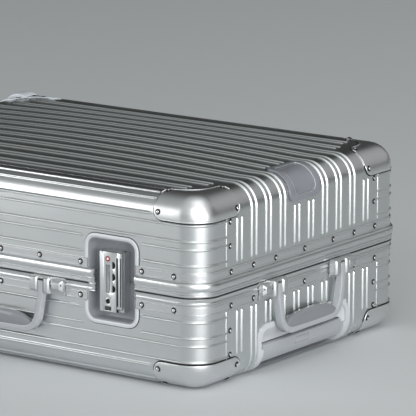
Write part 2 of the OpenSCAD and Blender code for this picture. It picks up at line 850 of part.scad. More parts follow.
// Key cylinder with a blind key slot
module key_cylinder(x)
    color([0.5, 0.5, 0.5]) at_lock(x) translate([slot_x, 0, key_h]) difference() {
        translate([0, -lever_u - 0.2, 0]) rotate([-90, 0, 0]) cylinder(r = 4, h = pan_d + lever_u - 2);
        translate([0, -lever_u, 0]) cube([1.2, 8, 5], center = true);
    }

module lock_button(x)
    color(dark) at_lock(x) translate([slot_x, -lever_u + 1.8, button_h]) cube([10, 4, 5], center = true);

module lock_body_left() lock_body(lock_xs[0]);
module lock_body_right() lock_body(lock_xs[1]);
module lock_lever_left() lock_lever(lock_xs[0]);
module lock_lever_right() lock_lever(lock_xs[1]);
module key_cylinder_left() key_cylinder(lock_xs[0]);
module key_cylinder_right() key_cylinder(lock_xs[1]);
module lock_button_left() lock_button(lock_xs[0]);
module lock_button_right() lock_button(lock_xs[1]);

// ---- carry handles ----

// The side handle's pieces are drawn on the +X end and turned to the lock side
module to_lock_side() rotate([0, 0, -90]) translate([(case_w - case_l) / 2, 0, 0]) children();

module handle_brackets()
    both_sides() difference() {
        union() {
            bracket_plate();
            cheek(arm_x + arm_w / 2 + 0.4, cheek_out);
            cheek(arm_x - arm_w / 2 - 0.4 - cheek_in, cheek_in);
        }
        handle_bore(handle_pin_r);
    }

// Plate over the frame's ridge, with a foot on the flange below it
module bracket_plate() {
    width = arm_w + 0.8 + cheek_out + cheek_in;
    translate([case_l / 2 + plate_u, arm_x - arm_w / 2 - 0.4 - cheek_in, 3.8]) cube([1, width, flange_h - 3.8]);
    translate([case_l / 2 + flange_t + 2 * seat_gap, arm_x - arm_w / 2 - 0.4 - cheek_in, 13])
        cube([plate_u - flange_t - 2 * seat_gap + 0.2, width, flange_h - 13]);
}

module cheek(y, length)
    on_cheek(y, length) polygon([[plate_u + 0.2, 3.8], [handle_pin_u + 3, 3.8], [handle_pin_u + 6, 7.5],
        [handle_pin_u + 6, 17], [handle_pin_u + 1, flange_h - 2], [plate_u + 0.2, flange_h]]);

module on_cheek(y, length)
    translate([case_l / 2, y + length, 0]) rotate([90, 0, 0]) linear_extrude(length) children();

module handle_bore(r)
    translate([case_l / 2 + handle_pin_u, 0, handle_pin_h])
        rotate([90, 0, 0]) cylinder(r = r, h = bore_l, center = true);

module handle_pin_pair()
    both_sides() translate([case_l / 2 + handle_pin_u, arm_x + (cheek_out - cheek_in) / 2, handle_pin_h])
        rotate([90, 0, 0]) cylinder(r = handle_pin_r, h = arm_w + cheek_out + cheek_in, center = true);

// Outline of the hanging bail in (y, h), seen from outside
module bail_outline() {
    y1 = arm_x + arm_w / 2;
    y2 = arm_x - 2;
    r = 15;
    difference() {
        union() {
            polygon([[-y1, handle_pin_h], [y1, handle_pin_h], [y1, flange_h + 3], [y2, bail_drop - r],
                [y2 - r, bail_drop - 2], [r - y2, bail_drop - 2], [-y2, bail_drop - r], [-y1, flange_h + 3]]);
            for (s = [-1, 1]) translate([s * (y2 - r), bail_drop - r]) circle(r);
            translate([0, bail_drop - grip_curve]) intersection() {
                circle(grip_curve, $fn = 720);
                translate([r - y2, grip_curve - bail_drop / 2]) square([2 * (y2 - r), bail_drop]);
            }
        }
        polygon([[arm_w - y1, -1], [y1 - arm_w, -1], [y1 - arm_w, flange_h + 1],
            [y2 - arm_w - 5, bail_drop - grip_h], [arm_w + 5 - y2, bail_drop - grip_h],
            [arm_w - y1, flange_h + 1]]);
    }
}

module bail()
    difference() {
        union() {
            on_end(handle_pin_u - bail_t / 2 + 0.6, handle_pin_u + bail_t / 2 + 0.6) bail_outline();
            both_sides() arm_eye(arm_w);
        }
        handle_bore(handle_pin_r + fit);
        both_sides() difference() {
            translate([case_l / 2 + handle_pin_u, arm_x, flange_h / 2 - 2])
                cube([40, arm_w + 2, flange_h + 8], center = true);
            arm_eye(3 * arm_w);
            translate([case_l / 2 + handle_pin_u + 0.6, arm_x, handle_pin_h + flange_h / 2])
                cube([9, arm_w + 2, flange_h], center = true);
        }
    }

// Round eye at the top of a bail's arm
module arm_eye(width)
    translate([case_l / 2 + handle_pin_u, arm_x, handle_pin_h])
        rotate([90, 0, 0]) cylinder(r = handle_pin_u - plate_u - 1.5, h = width, center = true);

module end_handle_brackets() color(satin) in_base() handle_brackets();
module side_handle_brackets() color(satin) in_base() to_lock_side() handle_brackets();
module end_handle() color(pale) in_base() bail();
module side_handle() color(pale) in_base() to_lock_side() bail();

module handle_pins()
    color(satin) in_base() {
        handle_pin_pair();
        to_lock_side() handle_pin_pair();
    }

// ---- pull handle ----

// Outline of the recess's mouth in (y, h), o outside it
module recess_outline(o) {
    w = recess_w + o;
    translate([-w, recess_h + recess_r]) square([2 * w, half_h - recess_h]);
    translate([recess_r - recess_w, recess_h - o]) square([2 * (recess_w - recess_r), half_h - recess_h]);
    for (s = [-1, 1]) translate([s * (recess_w - recess_r), recess_h + recess_r]) circle(recess_r + o);
}

// Room for the pan's body through the end of the back sheet, inside its rim
module recess_cut(grow) on_end(-recess_d - grow, edge_r) recess_outline(grow - pan_rim);

// Section in (x, h) of the recess: a scoop that slopes down behind the grip's slot, a wall outside it for o = 0
module scoop_section(o) {
    high = recess_h + pan_rim + pan_wall * o;
    back = case_l / 2 - recess_d + pan_wall * o;
    polygon([[case_l / 2 + edge_r, high], [case_l / 2 - pan_wall + o, high], [back, scoop_h - 1.5 + 1.5 * o],
        [back, half_h + edge_r], [case_l / 2 + edge_r, half_h + edge_r]]);
}

module pull_recess_pan()
    color(pale) in_base() difference() {
        union() {
            intersection() {
                along_y(2 * recess_w) intersection() {
                    half_outline(pan_rim_t, 0);
                    scoop_section(0);
                }
                recess_cut(0);
            }
            intersection() {
                along_y(2 * recess_w) bent_strip(seat_gap, pan_rim_t, recess_h);
                on_end(-edge_r, edge_r) intersection() {
                    recess_outline(0);
                    translate([-case_w / 2, 0]) square([case_w, curve_h + 0.8 * edge_r]);
                }
            }
        }
        intersection() {
            along_y(2 * recess_w) scoop_section(1);
            on_end(-recess_d, edge_r) intersection() {
                recess_outline(-pan_rim - pan_wall);
                translate([-case_w / 2, 0]) square([case_w, scoop_h]);
            }
        }
        translate([case_l / 2 - recess_d + pan_wall, -pull_w - pull_side, pull_h - 3])
            cube([recess_d + edge_r, 2 * (pull_w + pull_side), half_h - pull_h + 3 - pan_wall]);
        both_sides() translate([case_l / 2 - recess_d, tube_y, guide_u])
            cube([20, stage1_w + 0.6, stage1_h + 0.6], center = true);
    }

module tube(x_end, length, w, h)
    translate([x_end - length / 2, tube_y, guide_u]) difference() {
        cube([length, w, h], center = true);
        cube([length + 2, w - 2 * tube_wall, h - 2 * tube_wall], center = true);
    }

// The fixed guides with the saddles that stand on the back sheet
module pull_guides()
    color(satin) in_base() both_sides() {
        tube(guide_end, guide_l, guide_w, guide_h);
        for (x = [-guide_l / 2 + 20, 0, guide_l / 2 - 20])
            translate([guide_end - guide_l / 2 + x - 13, tube_y - guide_w / 2, guide_u + guide_h / 2 - 0.1])
                cube([26, guide_w, half_h - sheet_t - guide_u - guide_h / 2]);
    }

module pull_stage_one() color(silver) in_base() both_sides() tube(guide_end + 1.5, stage1_l, stage1_w, stage1_h);

module pull_stage_two()
    color(silver) in_base() both_sides() tube(case_l / 2 - pull_d, stage2_l, stage2_w, stage2_h);

// D-shaped bar whose outer face follows the bent end
module pull_grip()
    color(pale) in_base() difference() {
        intersection() {
            along_y(2 * pull_w) half_outline(-0.8, 0);
            translate([case_l / 2 - pull_d, -pull_w, pull_h]) cube([2 * pull_d, 2 * pull_w, pull_grip_h]);
        }
        translate([case_l / 2 - 4, 0, pull_h + 8]) cube([20, 30.6, 8.6], center = true);
    }

module pull_button()
    color(satin) in_base() translate([case_l / 2 - 5, 0, pull_h + 8]) cube([8, 30, 8], center = true);

// ---- casters ----

// Repeats on the caster end, over the lock-side or the hinge-side swivel axis
module stem_holes() translate([-case_l / 2, 0, swivel_h]) both_sides() translate([0, swivel_y, 0])
    rotate([0, 90, 0]) cylinder(r = stem_r + 4.3, h = 20, center = true);

module stem_room() translate([-case_l / 2, 0, swivel_h]) both_sides() translate([0, swivel_y, 0])
    rotate([0, 90, 0]) cylinder(r = stem_r + 5, h = 80, center = true);

// Housing on the caster end's +Y corner: a wrapping plate, a pad and the stem's socket
module wheel_housing()
    mirror([1, 0, 0]) difference() {
        union() {
            corner_turn() housing_section();
            translate([case_l / 2 - leg_mid, case_w / 2, 0]) along_x(cap_long - corner_r) housing_section();
            translate([case_l / 2, case_w / 2 - leg_mid, 0]) along_y(cap_long - corner_r) housing_section();
            translate([case_l / 2, case_w / 2, half_h + seat_gap]) linear_extrude(housing_t) cap_web();
            translate([case_l / 2 + seat_gap, swivel_y, swivel_h]) rotate([0, 90, 0])
                cylinder(r = 25, h = pad_u - seat_gap);
            translate([case_l / 2 - stem_l - 2, swivel_y, swivel_h]) rotate([0, 90, 0])
                cylinder(r = stem_r + 4, h = stem_l + 4);
        }
        translate([case_l / 2 - stem_l, swivel_y, swivel_h]) rotate([0, 90, 0])
            cylinder(r = stem_r + fit, h = stem_l + 20);
    }

module housing_section() {
    wall_section(seat_gap, housing_t, housing_h);
    curve_section(seat_gap, housing_t);
}

module lid_wheel_housings() color(pale) in_lid() both_sides() wheel_housing();
module base_wheel_housings() color(pale) in_base() both_sides() wheel_housing();

// A caster is drawn at its swivel axis on the caster end, x = 0 at the sheet, its axle hanging trail below
module at_swivel(side, up)
    translate([-case_l / 2, side * swivel_y, parting_z + up * swivel_h]) children();

module caster_fork(side, up)
    color(pale) at_swivel(side, up) difference() {
        union() {
            translate([-pad_u - 0.3, 0, 0]) rotate([0, 90, 0]) cylinder(r = stem_r, h = pad_u + 0.3 + stem_l - 0.5);
            translate([-pad_u - 0.3 - disc_t, 0, 0]) rotate([0, 90, 0]) cylinder(r = 17, h = disc_t);
            translate([-axle_u, 0, -trail]) rotate([90, 0, 0]) fork_web();
        }
        translate([-axle_u, 0, -trail]) rotate([90, 0, 0]) cylinder(r = axle_r + fit, h = 60, center = true);
    }

// The centre web with the hood over both wheels
module fork_web() {
    reach = axle_u - pad_u - 1;
    linear_extrude(7, center = true) {
        circle(axle_r + 5);
        translate([0, -6]) square([reach, trail + 16]);
    }
    linear_extrude(7 + 2 * wheel_w + 4, center = true) difference() {
        intersection() {
            circle(wheel_r + 3.4);
            translate([0, -4]) square(60);
        }
        circle(wheel_r + 1.4);
    }
}

// Two discs on one axle
module caster_wheels(side, up)
    color(dark) at_swivel(side, up) translate([-axle_u, 0, -trail]) rotate([90, 0, 0]) {
        cylinder(r = axle_r, h = 7 + 2 * wheel_w, center = true);
        for (s = [-1, 1]) translate([0, 0, s * (3.5 + 0.8 + wheel_w / 2)])
            cylinder(r = wheel_r, h = wheel_w, center = true);
    }

module caster_fork_lid_lock() caster_fork(-1, 1);
module caster_fork_lid_hinge() caster_fork(1, 1);
module caster_fork_base_lock() caster_fork(-1, -1);
module caster_fork_base_hinge() caster_fork(1, -1);
module caster_wheels_lid_lock() caster_wheels(-1, 1);
module caster_wheels_lid_hinge() caster_wheels(1, 1);
module caster_wheels_base_lock() caster_wheels(-1, -1);
module caster_wheels_base_hinge() caster_wheels(1, -1);

// ---- nodes ----

lid_face_sheet();
lid_lock_side_sheet();
lid_hinge_side_sheet();
lid_frame();
lid_corner_caps();
lid_wheel_housings();
lid_lining();
badge_plate();
lid_rivets();
lid_lock_pans();
lock_catches();
lid_hinge_leaves();
base_back_sheet();
base_lock_side_sheet();
base_hinge_side_sheet();
base_frame();
base_corner_caps();
base_wheel_housings();
base_lining();
base_rivets();
base_lock_pans();
frame_seal();
base_hinge_leaves();
hinge_pins();
side_handle_brackets();
end_handle_brackets();
handle_pins();
side_handle();
end_handle();
pull_recess_pan();
pull_guides();
pull_stage_one();
pull_stage_two();
pull_grip();
pull_button();
lock_body_left();
lock_body_right();
lock_lever_left();
lock_lever_right();
dial(lock_xs[0], 0);  // dial_left_1
dial(lock_xs[0], 1);  // dial_left_2
dial(lock_xs[0], 2);  // dial_left_3
dial(lock_xs[1], 0);  // dial_right_1
dial(lock_xs[1], 1);  // dial_right_2
dial(lock_xs[1], 2);  // dial_right_3
key_cylinder_left();
key_cylinder_right();
lock_button_left();
lock_button_right();
caster_fork_lid_lock();
caster_fork_lid_hinge();
caster_fork_base_lock();
caster_fork_base_hinge();
caster_wheels_lid_lock();
caster_wheels_lid_hinge();
caster_wheels_base_lock();
caster_wheels_base_hinge();
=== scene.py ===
"""Dresses the aluminium suitcase: pressed sheets, frames, caps, locks, handles, casters, linings, studio."""
import json
import logging
import math
from dataclasses import dataclass, field
from enum import Enum
from typing import Callable, Iterable, Sequence

import bmesh
import bpy
from mathutils import Matrix, Vector


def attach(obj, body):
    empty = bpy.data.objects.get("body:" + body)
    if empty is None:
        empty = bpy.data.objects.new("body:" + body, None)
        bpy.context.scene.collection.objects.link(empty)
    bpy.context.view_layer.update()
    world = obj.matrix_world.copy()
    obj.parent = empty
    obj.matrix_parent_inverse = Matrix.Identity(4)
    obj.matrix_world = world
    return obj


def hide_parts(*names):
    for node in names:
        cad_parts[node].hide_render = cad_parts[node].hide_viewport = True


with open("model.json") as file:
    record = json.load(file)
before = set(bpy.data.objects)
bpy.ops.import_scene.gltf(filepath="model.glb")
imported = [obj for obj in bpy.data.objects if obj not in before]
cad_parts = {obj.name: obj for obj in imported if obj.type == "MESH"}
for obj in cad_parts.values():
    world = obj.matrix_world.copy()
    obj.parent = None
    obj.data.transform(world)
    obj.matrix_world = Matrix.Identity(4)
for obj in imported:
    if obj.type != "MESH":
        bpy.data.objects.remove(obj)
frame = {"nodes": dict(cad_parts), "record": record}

LOG = logging.getLogger("suitcase")
Spot = tuple[float, float, float]


class Half(Enum):
    """The two halves of the shell, each with the way its height grows from the parting line."""

    LID = 1
    BASE = -1

    @property
    def word(self) -> str:
        """Word that stands for the half in names."""
        return self.name.lower()


class Side(Enum):
    """The two long sides, each with the sign of its Y."""

    LOCK = -1
    HINGE = 1

    @property
    def word(self) -> str:
        """Word that stands for the side in names."""
        return self.name.lower()


class End(Enum):
    """The two ends, each with the sign of its X."""

    HANDLE = 1
    CASTER = -1


@dataclass(frozen=True)
class CaseSizes:
    """Main sizes in millimetres. Heights h run from the parting line, distances u outwards from a sheet."""

    half_l: float = 310.0
    half_w: float = 223.0
    depth: float = 122.0
    parting: float = 124.0
    corner_r: float = 34.0
    edge_r: float = 29.0
    sheet_t: float = 1.2
    crown: float = 6.0
    crown_x: float = 262.0
    crown_y: float = 180.0
    seam_y: float = 169.0
    rib_pitch: float = 31.5
    rib_gap: float = 10.2
    flange_u: float = 1.6
    cap_h: float = 89.5
    cap_out: float = 1.3
    lock_x: float = 174.0

    @property
    def bend_h(self) -> float:
        """Height at which the wall starts to bend."""
        return self.depth - self.edge_r

    @property
    def cap_bend(self) -> float:
        """Radius of the corner caps' outside over the bend."""
        return self.edge_r + self.cap_out

    @property
    def top_y(self) -> float:
        """Distance from the middle at which the long bends end."""
        return self.half_w - self.edge_r

    def crown_at(self, x: float, y: float) -> float:
        """Rise of the lid's crown at a place.

        Args:
            x: Distance along the case.
            y: Distance across the case.

        Returns:
            The rise in millimetres, 0 outside the crowned field.
        """
        if abs(x) >= self.crown_x or abs(y) >= self.crown_y:
            return 0.0
        return self.crown * (1 - (x / self.crown_x) ** 2) * (1 - (y / self.crown_y) ** 2)


CASE = CaseSizes()


# ---- bench: the operators that shape a piece ----


@dataclass(frozen=True)
class Line:
    """A straight stretch of a path."""

    delta: Spot
    steps: int = 1


@dataclass(frozen=True)
class Arc:
    """A turn of a path, counted right-handed about its axis."""

    centre: Spot
    axis: Spot
    degrees: float
    steps: int = 6


Move = Line | Arc


class Bench:
    """Where pieces are modelled, in millimetres, and then put into the case in metres."""

    @staticmethod
    def clear() -> None:
        """Leave edit mode and deselect everything."""
        if bpy.context.object and bpy.context.object.mode != "OBJECT":
            bpy.ops.object.mode_set(mode="OBJECT")
        bpy.ops.object.select_all(action="DESELECT")

    @staticmethod
    def hold(*pieces: bpy.types.Object) -> bpy.types.Object:
        """Select only these pieces, the first one active.

        Args:
            pieces: The pieces to work on.

        Returns:
            The active piece.
        """
        Bench.clear()
        for piece in pieces:
            piece.select_set(True)
        bpy.context.view_layer.objects.active = pieces[0]
        return pieces[0]

    @staticmethod
    def edit(piece: bpy.types.Object) -> None:
        """Take a piece into edit mode with nothing selected."""
        Bench.hold(piece)
        bpy.ops.object.mode_set(mode="EDIT")
        bpy.ops.mesh.select_all(action="DESELECT")

    @staticmethod
    def pick(test: Callable[[Vector], bool]) -> None:
        """Select the vertices that pass a test by their place, and the edges and faces between them."""
        mesh = bpy.context.object.data
        shape = bmesh.from_edit_mesh(mesh)
        for vert in shape.verts:
            vert.select_set(False)
        for vert in shape.verts:
            if test(vert.co):
                vert.select_set(True)
        shape.select_mode = {"VERT"}
        shape.select_flush_mode()
        bmesh.update_edit_mesh(mesh)

    @staticmethod
    def pick_faces(test: Callable[[Vector, Vector], bool]) -> None:
        """Select the faces that pass a test by their middle and normal."""
        mesh = bpy.context.object.data
        bpy.ops.mesh.select_mode(type="FACE")
        shape = bmesh.from_edit_mesh(mesh)
        for face in shape.faces:
            face.select_set(False)
        for face in shape.faces:
            if test(face.calc_center_median(), face.normal):
                face.select_set(True)
        bmesh.update_edit_mesh(mesh)

    @staticmethod
    def box(name: str, low: Spot, high: Spot) -> bpy.types.Object:
        """Add a cuboid between two corners.

        Args:
            name: Name of the piece.
            low: Its lowest corner.
            high: Its highest corner.

        Returns:
            The new piece, its place in its mesh.
        """
        Bench.clear()
        middle = [(a + b) / 2 for a, b in zip(low, high)]
        bpy.ops.mesh.primitive_cube_add(size=1.0, location=middle)
        piece = bpy.context.object
        piece.name = name
        bpy.ops.transform.resize(value=[b - a for a, b in zip(low, high)])
        bpy.ops.object.transform_apply(location=True, rotation=True, scale=True)
        return piece

    @staticmethod
    def rod(name: str, centre: Spot, axis: str, radius: float, length: float, sides: int = 32) -> bpy.types.Object:
        """Add a round bar along X, Y or Z.

        Args:
            name: Name of the piece.
            centre: Its middle.
            axis: "X", "Y" or "Z".
            radius: Its radius.
            length: Its length.
            sides: Number of its sides.

        Returns:
            The new piece, its place in its mesh.
        """
        Bench.clear()
        turn = {"X": (0, math.pi / 2, 0), "Y": (math.pi / 2, 0, 0), "Z": (0, 0, 0)}[axis]
        bpy.ops.mesh.primitive_cylinder_add(
            vertices=sides, radius=radius, depth=length, location=centre, rotation=turn
        )
        piece = bpy.context.object
        piece.name = name
        bpy.ops.object.transform_apply(location=True, rotation=True, scale=True)
        return piece

    @staticmethod
    def apply(piece: bpy.types.Object, kind: str, **settings: object) -> bpy.types.Object:
        """Put a modifier on a piece and apply it.

        Args:
            piece: The piece.
            kind: Type of the modifier.
            settings: Its settings.

        Returns:
            The same piece.
        """
        Bench.hold(piece)
        modifier = piece.modifiers.new("work", kind)
        for key, value in settings.items():
            setattr(modifier, key, value)
        bpy.ops.object.modifier_apply(modifier=modifier.name)
        return piece

    @staticmethod
    def cut(piece: bpy.types.Object, *cutters: bpy.types.Object) -> bpy.types.Object:
        """Cut pieces out of a piece.

        Args:
            piece: The piece to cut.
            cutters: Closed shapes that are taken out of it, and deleted.

        Returns:
            The cut piece.
        """
        for cutter in cutters:
            Bench.apply(piece, "BOOLEAN", operation="DIFFERENCE", object=cutter, solver="EXACT")
            bpy.data.objects.remove(cutter)
        return piece

    @staticmethod
    def join(name: str, pieces: Iterable[bpy.types.Object]) -> bpy.types.Object:
        """Join pieces into one.

        Args:
            name: Name of the result.
            pieces: The pieces, the first of which stays.

        Returns:
            The joined piece.
        """
        first = Bench.hold(*pieces)
        if len(bpy.context.selected_objects) > 1:
            bpy.ops.object.join()
        first.name = name
        first.data.name = name
        return first

    @staticmethod
    def twin(piece: bpy.types.Object, change: Matrix) -> bpy.types.Object:
        """Copy a piece with its own mesh and place the copy.

        Args:
            piece: The piece to copy.
            change: What takes the piece to the copy's place.

        Returns:
            The copy, turned right side out if the change mirrors it.
        """
        copy = piece.copy()
        copy.data = piece.data.copy()
        bpy.context.scene.collection.objects.link(copy)
        copy.data.transform(change)
        if change.determinant() < 0:
            copy.data.flip_normals()
        return copy

    @staticmethod
    def mirrored(piece: bpy.types.Object, *axes: int) -> bpy.types.Object:
        """Copy a piece mirrored in the given axes, numbered from 0.

        Args:
            piece: The piece to copy.
            axes: The axes whose sign turns round.

        Returns:
            The copy.
        """
        signs = [-1.0 if k in axes else 1.0 for k in range(3)]
        return Bench.twin(piece, Matrix.Diagonal((*signs, 1.0)))

    @staticmethod
    def wire(name: str, points: Sequence[Spot], radius: float, closed: bool = True) -> bpy.types.Object:
        """Make a round wire through some points.

        Args:
            name: Name of the piece.
            points: The points of its middle line.
            radius: Its radius.
            closed: True to join its ends.

        Returns:
            The wire.
        """
        curve = bpy.data.curves.new(name, "CURVE")
        curve.dimensions, curve.bevel_depth, curve.bevel_resolution = "3D", radius, 2
        curve.use_fill_caps = not closed
        spline = curve.splines.new("POLY")
        spline.points.add(len(points) - 1)
        for knot, spot in zip(spline.points, points):
            knot.co = (*spot, 1.0)
        spline.use_cyclic_u = closed
        piece = bpy.data.objects.new(name, curve)
        bpy.context.scene.collection.objects.link(piece)
        Bench.hold(piece)
        bpy.ops.object.convert(target="MESH")
        return turn_out(bpy.context.object)

    @staticmethod
    def loft(name: str, ring: Sequence[tuple[float, float]], places: Sequence[Matrix]) -> bpy.types.Object:
        """Carry a ring through a row of places, each with its own turn and size.

        Args:
            name: Name of the piece.
            ring: The ring's points, in its own X and Z.
            places: What takes the ring to each of its places.

        Returns:
            The closed piece.
        """
        steps = len(places) - 1
        section = [(a, 0.0, b) for a, b in ring]
        piece = Sweep(name, section, ring=True).follow(Line((0, float(steps), 0), steps)).done(close=True)
        for vert in piece.data.vertices:
            place = places[round(vert.co.y)]
            vert.co = place @ Vector((vert.co.x, 0.0, vert.co.z))
        return turn_out(piece)

    @staticmethod
    def round_edges(piece: bpy.types.Object, width: float, segments: int = 2, angle: float = 35.0) -> bpy.types.Object:
        """Round a piece's edges.

        Args:
            piece: The piece.
            width: Width of the rounding.
            segments: Number of its facets.
            angle: Least angle of an edge that is rounded.

        Returns:
            The same piece.
        """
        return Bench.apply(
            piece, "BEVEL", width=width, segments=segments, limit_method="ANGLE",
            angle_limit=math.radians(angle), use_clamp_overlap=True, miter_outer="MITER_ARC",
        )

    @staticmethod
    def smooth(piece: bpy.types.Object, angle: float = 35.0) -> bpy.types.Object:
        """Shade a piece smooth except over edges sharper than an angle."""
        Bench.hold(piece)
        bpy.ops.object.shade_smooth_by_angle(angle=math.radians(angle))
        return piece

    @staticmethod
    def weld(piece: bpy.types.Object, reach: float = 0.002) -> None:
        """Merge a piece's doubled points and turn its faces the same way."""
        Bench.edit(piece)
        bpy.ops.mesh.select_all(action="SELECT")
        bpy.ops.mesh.remove_doubles(threshold=reach)
        bpy.ops.mesh.normals_make_consistent(inside=False)
        Bench.clear()

    @staticmethod
    def in_half(piece: bpy.types.Object, half: Half) -> bpy.types.Object:
        """Move a piece drawn in (x, y, h) to its half, still in millimetres.

        Args:
            piece: The piece.
            half: The half it belongs to.

        Returns:
            The same piece.
        """
        place = Matrix.Translation((0, 0, CASE.parting)) @ Matrix.Diagonal((1, 1, half.value, 1))
        piece.data.transform(place)
        if half is Half.BASE:
            piece.data.flip_normals()
        return piece

    @staticmethod
    def to_metres(piece: bpy.types.Object) -> bpy.types.Object:
        """Bring a finished piece to metres."""
        piece.data.transform(Matrix.Scale(0.001, 4))
        piece.data.update()
        return piece


class Sweep:
    """A section drawn point by point and carried along a path by extruding and spinning it."""

    def __init__(self, name: str, points: Sequence[Spot], ring: bool = False) -> None:
        """Draw the section.

        Args:
            name: Name of the piece.
            points: The section's points.
            ring: True to join the last point to the first.
        """
        Bench.clear()
        bpy.ops.mesh.primitive_plane_add(size=1.0, location=(0, 0, 0))
        self.piece = bpy.context.object
        self.piece.name = name
        bpy.ops.object.mode_set(mode="EDIT")
        bpy.ops.mesh.select_mode(type="VERT")
        bpy.ops.mesh.select_all(action="SELECT")
        bpy.ops.mesh.merge(type="CENTER")
        bpy.ops.transform.translate(value=points[0])
        for a, b in zip(points, points[1:]):
            step = [q - p for p, q in zip(a, b)]
            bpy.ops.mesh.extrude_vertices_move(TRANSFORM_OT_translate={"value": step})
        if ring:
            ends = (Vector(points[0]), Vector(points[-1]))
            Bench.pick(lambda co: min((co - e).length for e in ends) < 1e-4)
            bpy.ops.mesh.edge_face_add()
        bpy.ops.mesh.select_all(action="SELECT")

    def follow(self, *moves: Move) -> "Sweep":
        """Carry the selected section along some moves.

        Args:
            moves: Lines and arcs, in order.

        Returns:
            The sweep itself.
        """
        for move in moves:
            if isinstance(move, Line):
                for _ in range(move.steps):
                    step = [d / move.steps for d in move.delta]
                    bpy.ops.mesh.extrude_region_move(TRANSFORM_OT_translate={"value": step})
            else:
                bpy.ops.mesh.spin(
                    steps=move.steps, angle=-math.radians(move.degrees), center=move.centre, axis=move.axis
                )
        return self

    def done(self, close: bool = False, walls: float = 0.0) -> bpy.types.Object:
        """Finish the sweep.

        Args:
            close: True to fill its open ends.
            walls: Thickness given inwards to an open surface.

        Returns:
            The piece.
        """
        if close:
            bpy.ops.mesh.select_all(action="SELECT")
            bpy.ops.mesh.fill_holes(sides=0)
        Bench.weld(self.piece)
        if walls:
            Bench.apply(self.piece, "SOLIDIFY", thickness=walls, offset=-1.0, use_even_offset=True)
        return self.piece


def outline_block(name: str, points: Sequence[Spot], push: Spot) -> bpy.types.Object:
    """Make a closed block from an outline.

    Args:
        name: Name of the piece.
        points: The outline's points.
        push: How far and where the outline is drawn out.

    Returns:
        The block.
    """
    return Sweep(name, points, ring=True).follow(Line(push)).done(close=True)


def arc_points(cx: float, cy: float, r: float, start: float, end: float, steps: int) -> list[tuple[float, float]]:
    """Points on an arc in a plane.

    Args:
        cx: First coordinate of the centre.
        cy: Second coordinate of the centre.
        r: Radius.
        start: First angle in degrees.
        end: Last angle in degrees.
        steps: Number of steps.

    Returns:
        The points, both ends included.
    """
    angles = [math.radians(start + (end - start) * k / steps) for k in range(steps + 1)]
    return [(cx + r * math.cos(a), cy + r * math.sin(a)) for a in angles]


def rounded_ring(power: float, steps: int = 28) -> list[tuple[float, float]]:
    """A ring of radius one between a circle, for power 2, and a square.

    Args:
        power: How square it is.
        steps: Number of its points.

    Returns:
        The points.
    """
    turns = [(math.cos(2 * math.pi * k / steps), math.sin(2 * math.pi * k / steps)) for k in range(steps)]
    return [
        (math.copysign(abs(a) ** (2 / power), a), math.copysign(abs(b) ** (2 / power), b)) for a, b in turns
    ]


@dataclass(frozen=True)
class BeadShape:
    """Section of a pressed bead in millimetres, a crest that runs out in a hollow foot."""

    width: float = 5.1
    height: float = 1.75
    sink: float = 0.12
    facets: int = 6

    def half(self) -> list[tuple[float, float]]:
        """Points (across, outwards) from the crest to one foot."""
        shares = [k / self.facets for k in range(self.facets + 1)]
        rise = self.height + self.sink
        return [(self.width / 2 * t, rise * (0.5 + 0.5 * math.cos(math.pi * t)) - self.sink) for t in shares]


class Bead:
    """One pressed bead with long rounded ends, carried along the sheet."""

    taper = 1.1

    def __init__(self, shape: BeadShape, start: Spot, out: Spot, moves: Sequence[Move]) -> None:
        """Set the bead's path.

        Args:
            shape: Its section.
            start: Where its section begins, on the sheet.
            out: The sheet's outward direction there.
            moves: The path's moves, the first one a line.
        """
        self.shape = shape
        self.start = Vector(start)
        self.out = Vector(out).normalized()
        self.moves = list(moves)
        self.ahead = Vector(self.moves[0].delta).normalized()
        self.side = self.ahead.cross(self.out)

    def build(self, name: str) -> bpy.types.Object:
        """Model the bead.

        Args:
            name: Name of the piece.

        Returns:
            The bead.
        """
        points = [self.start + self.side * t + self.out * u for t, u in self.shape.half()]
        sweep = Sweep(name, [tuple(p) for p in points])
        bpy.ops.mesh.spin(steps=6, angle=math.pi, center=self.start, axis=self.out)
        bpy.ops.mesh.select_all(action="SELECT")
        bpy.ops.mesh.remove_doubles(threshold=0.001)
        Bench.pick(lambda co: abs((co - self.start).dot(self.ahead)) < 1e-3)
        sweep.follow(*self.moves)
        at, out, side = self.start.copy(), self.out.copy(), self.side.copy()
        for move in self.moves:
            if isinstance(move, Line):
                at += Vector(move.delta)
            else:
                turn = Matrix.Rotation(math.radians(move.degrees), 3, Vector(move.axis))
                centre = Vector(move.centre)
                at, out, side = centre + turn @ (at - centre), turn @ out, turn @ side
        ahead = out.cross(side)
        Bench.pick(
            lambda co: abs((co - at).dot(ahead)) < 2e-3
            and (co - at).dot(side) > -1e-3
            and (co - at).length < self.shape.width * 1.5
        )
        bpy.ops.mesh.spin(steps=6, angle=math.pi, center=at, axis=-out)
        piece = sweep.done()
        last = Vector(self.moves[-1].delta).normalized()
        for vert in piece.data.vertices:
            for spot, way in ((self.start, -self.ahead), (at, last)):
                past = (vert.co - spot).dot(way)
                if past > 1e-3 and (vert.co - spot).length < self.shape.width:
                    vert.co += way * past * self.taper
        best = max(piece.data.polygons, key=lambda f: (Vector(f.center) - self.start).dot(self.out)
                   - 0.2 * (Vector(f.center) - self.start).length)
        if best.normal.dot(self.out) < 0:
            piece.data.flip_normals()
        return piece


# ---- finishes ----


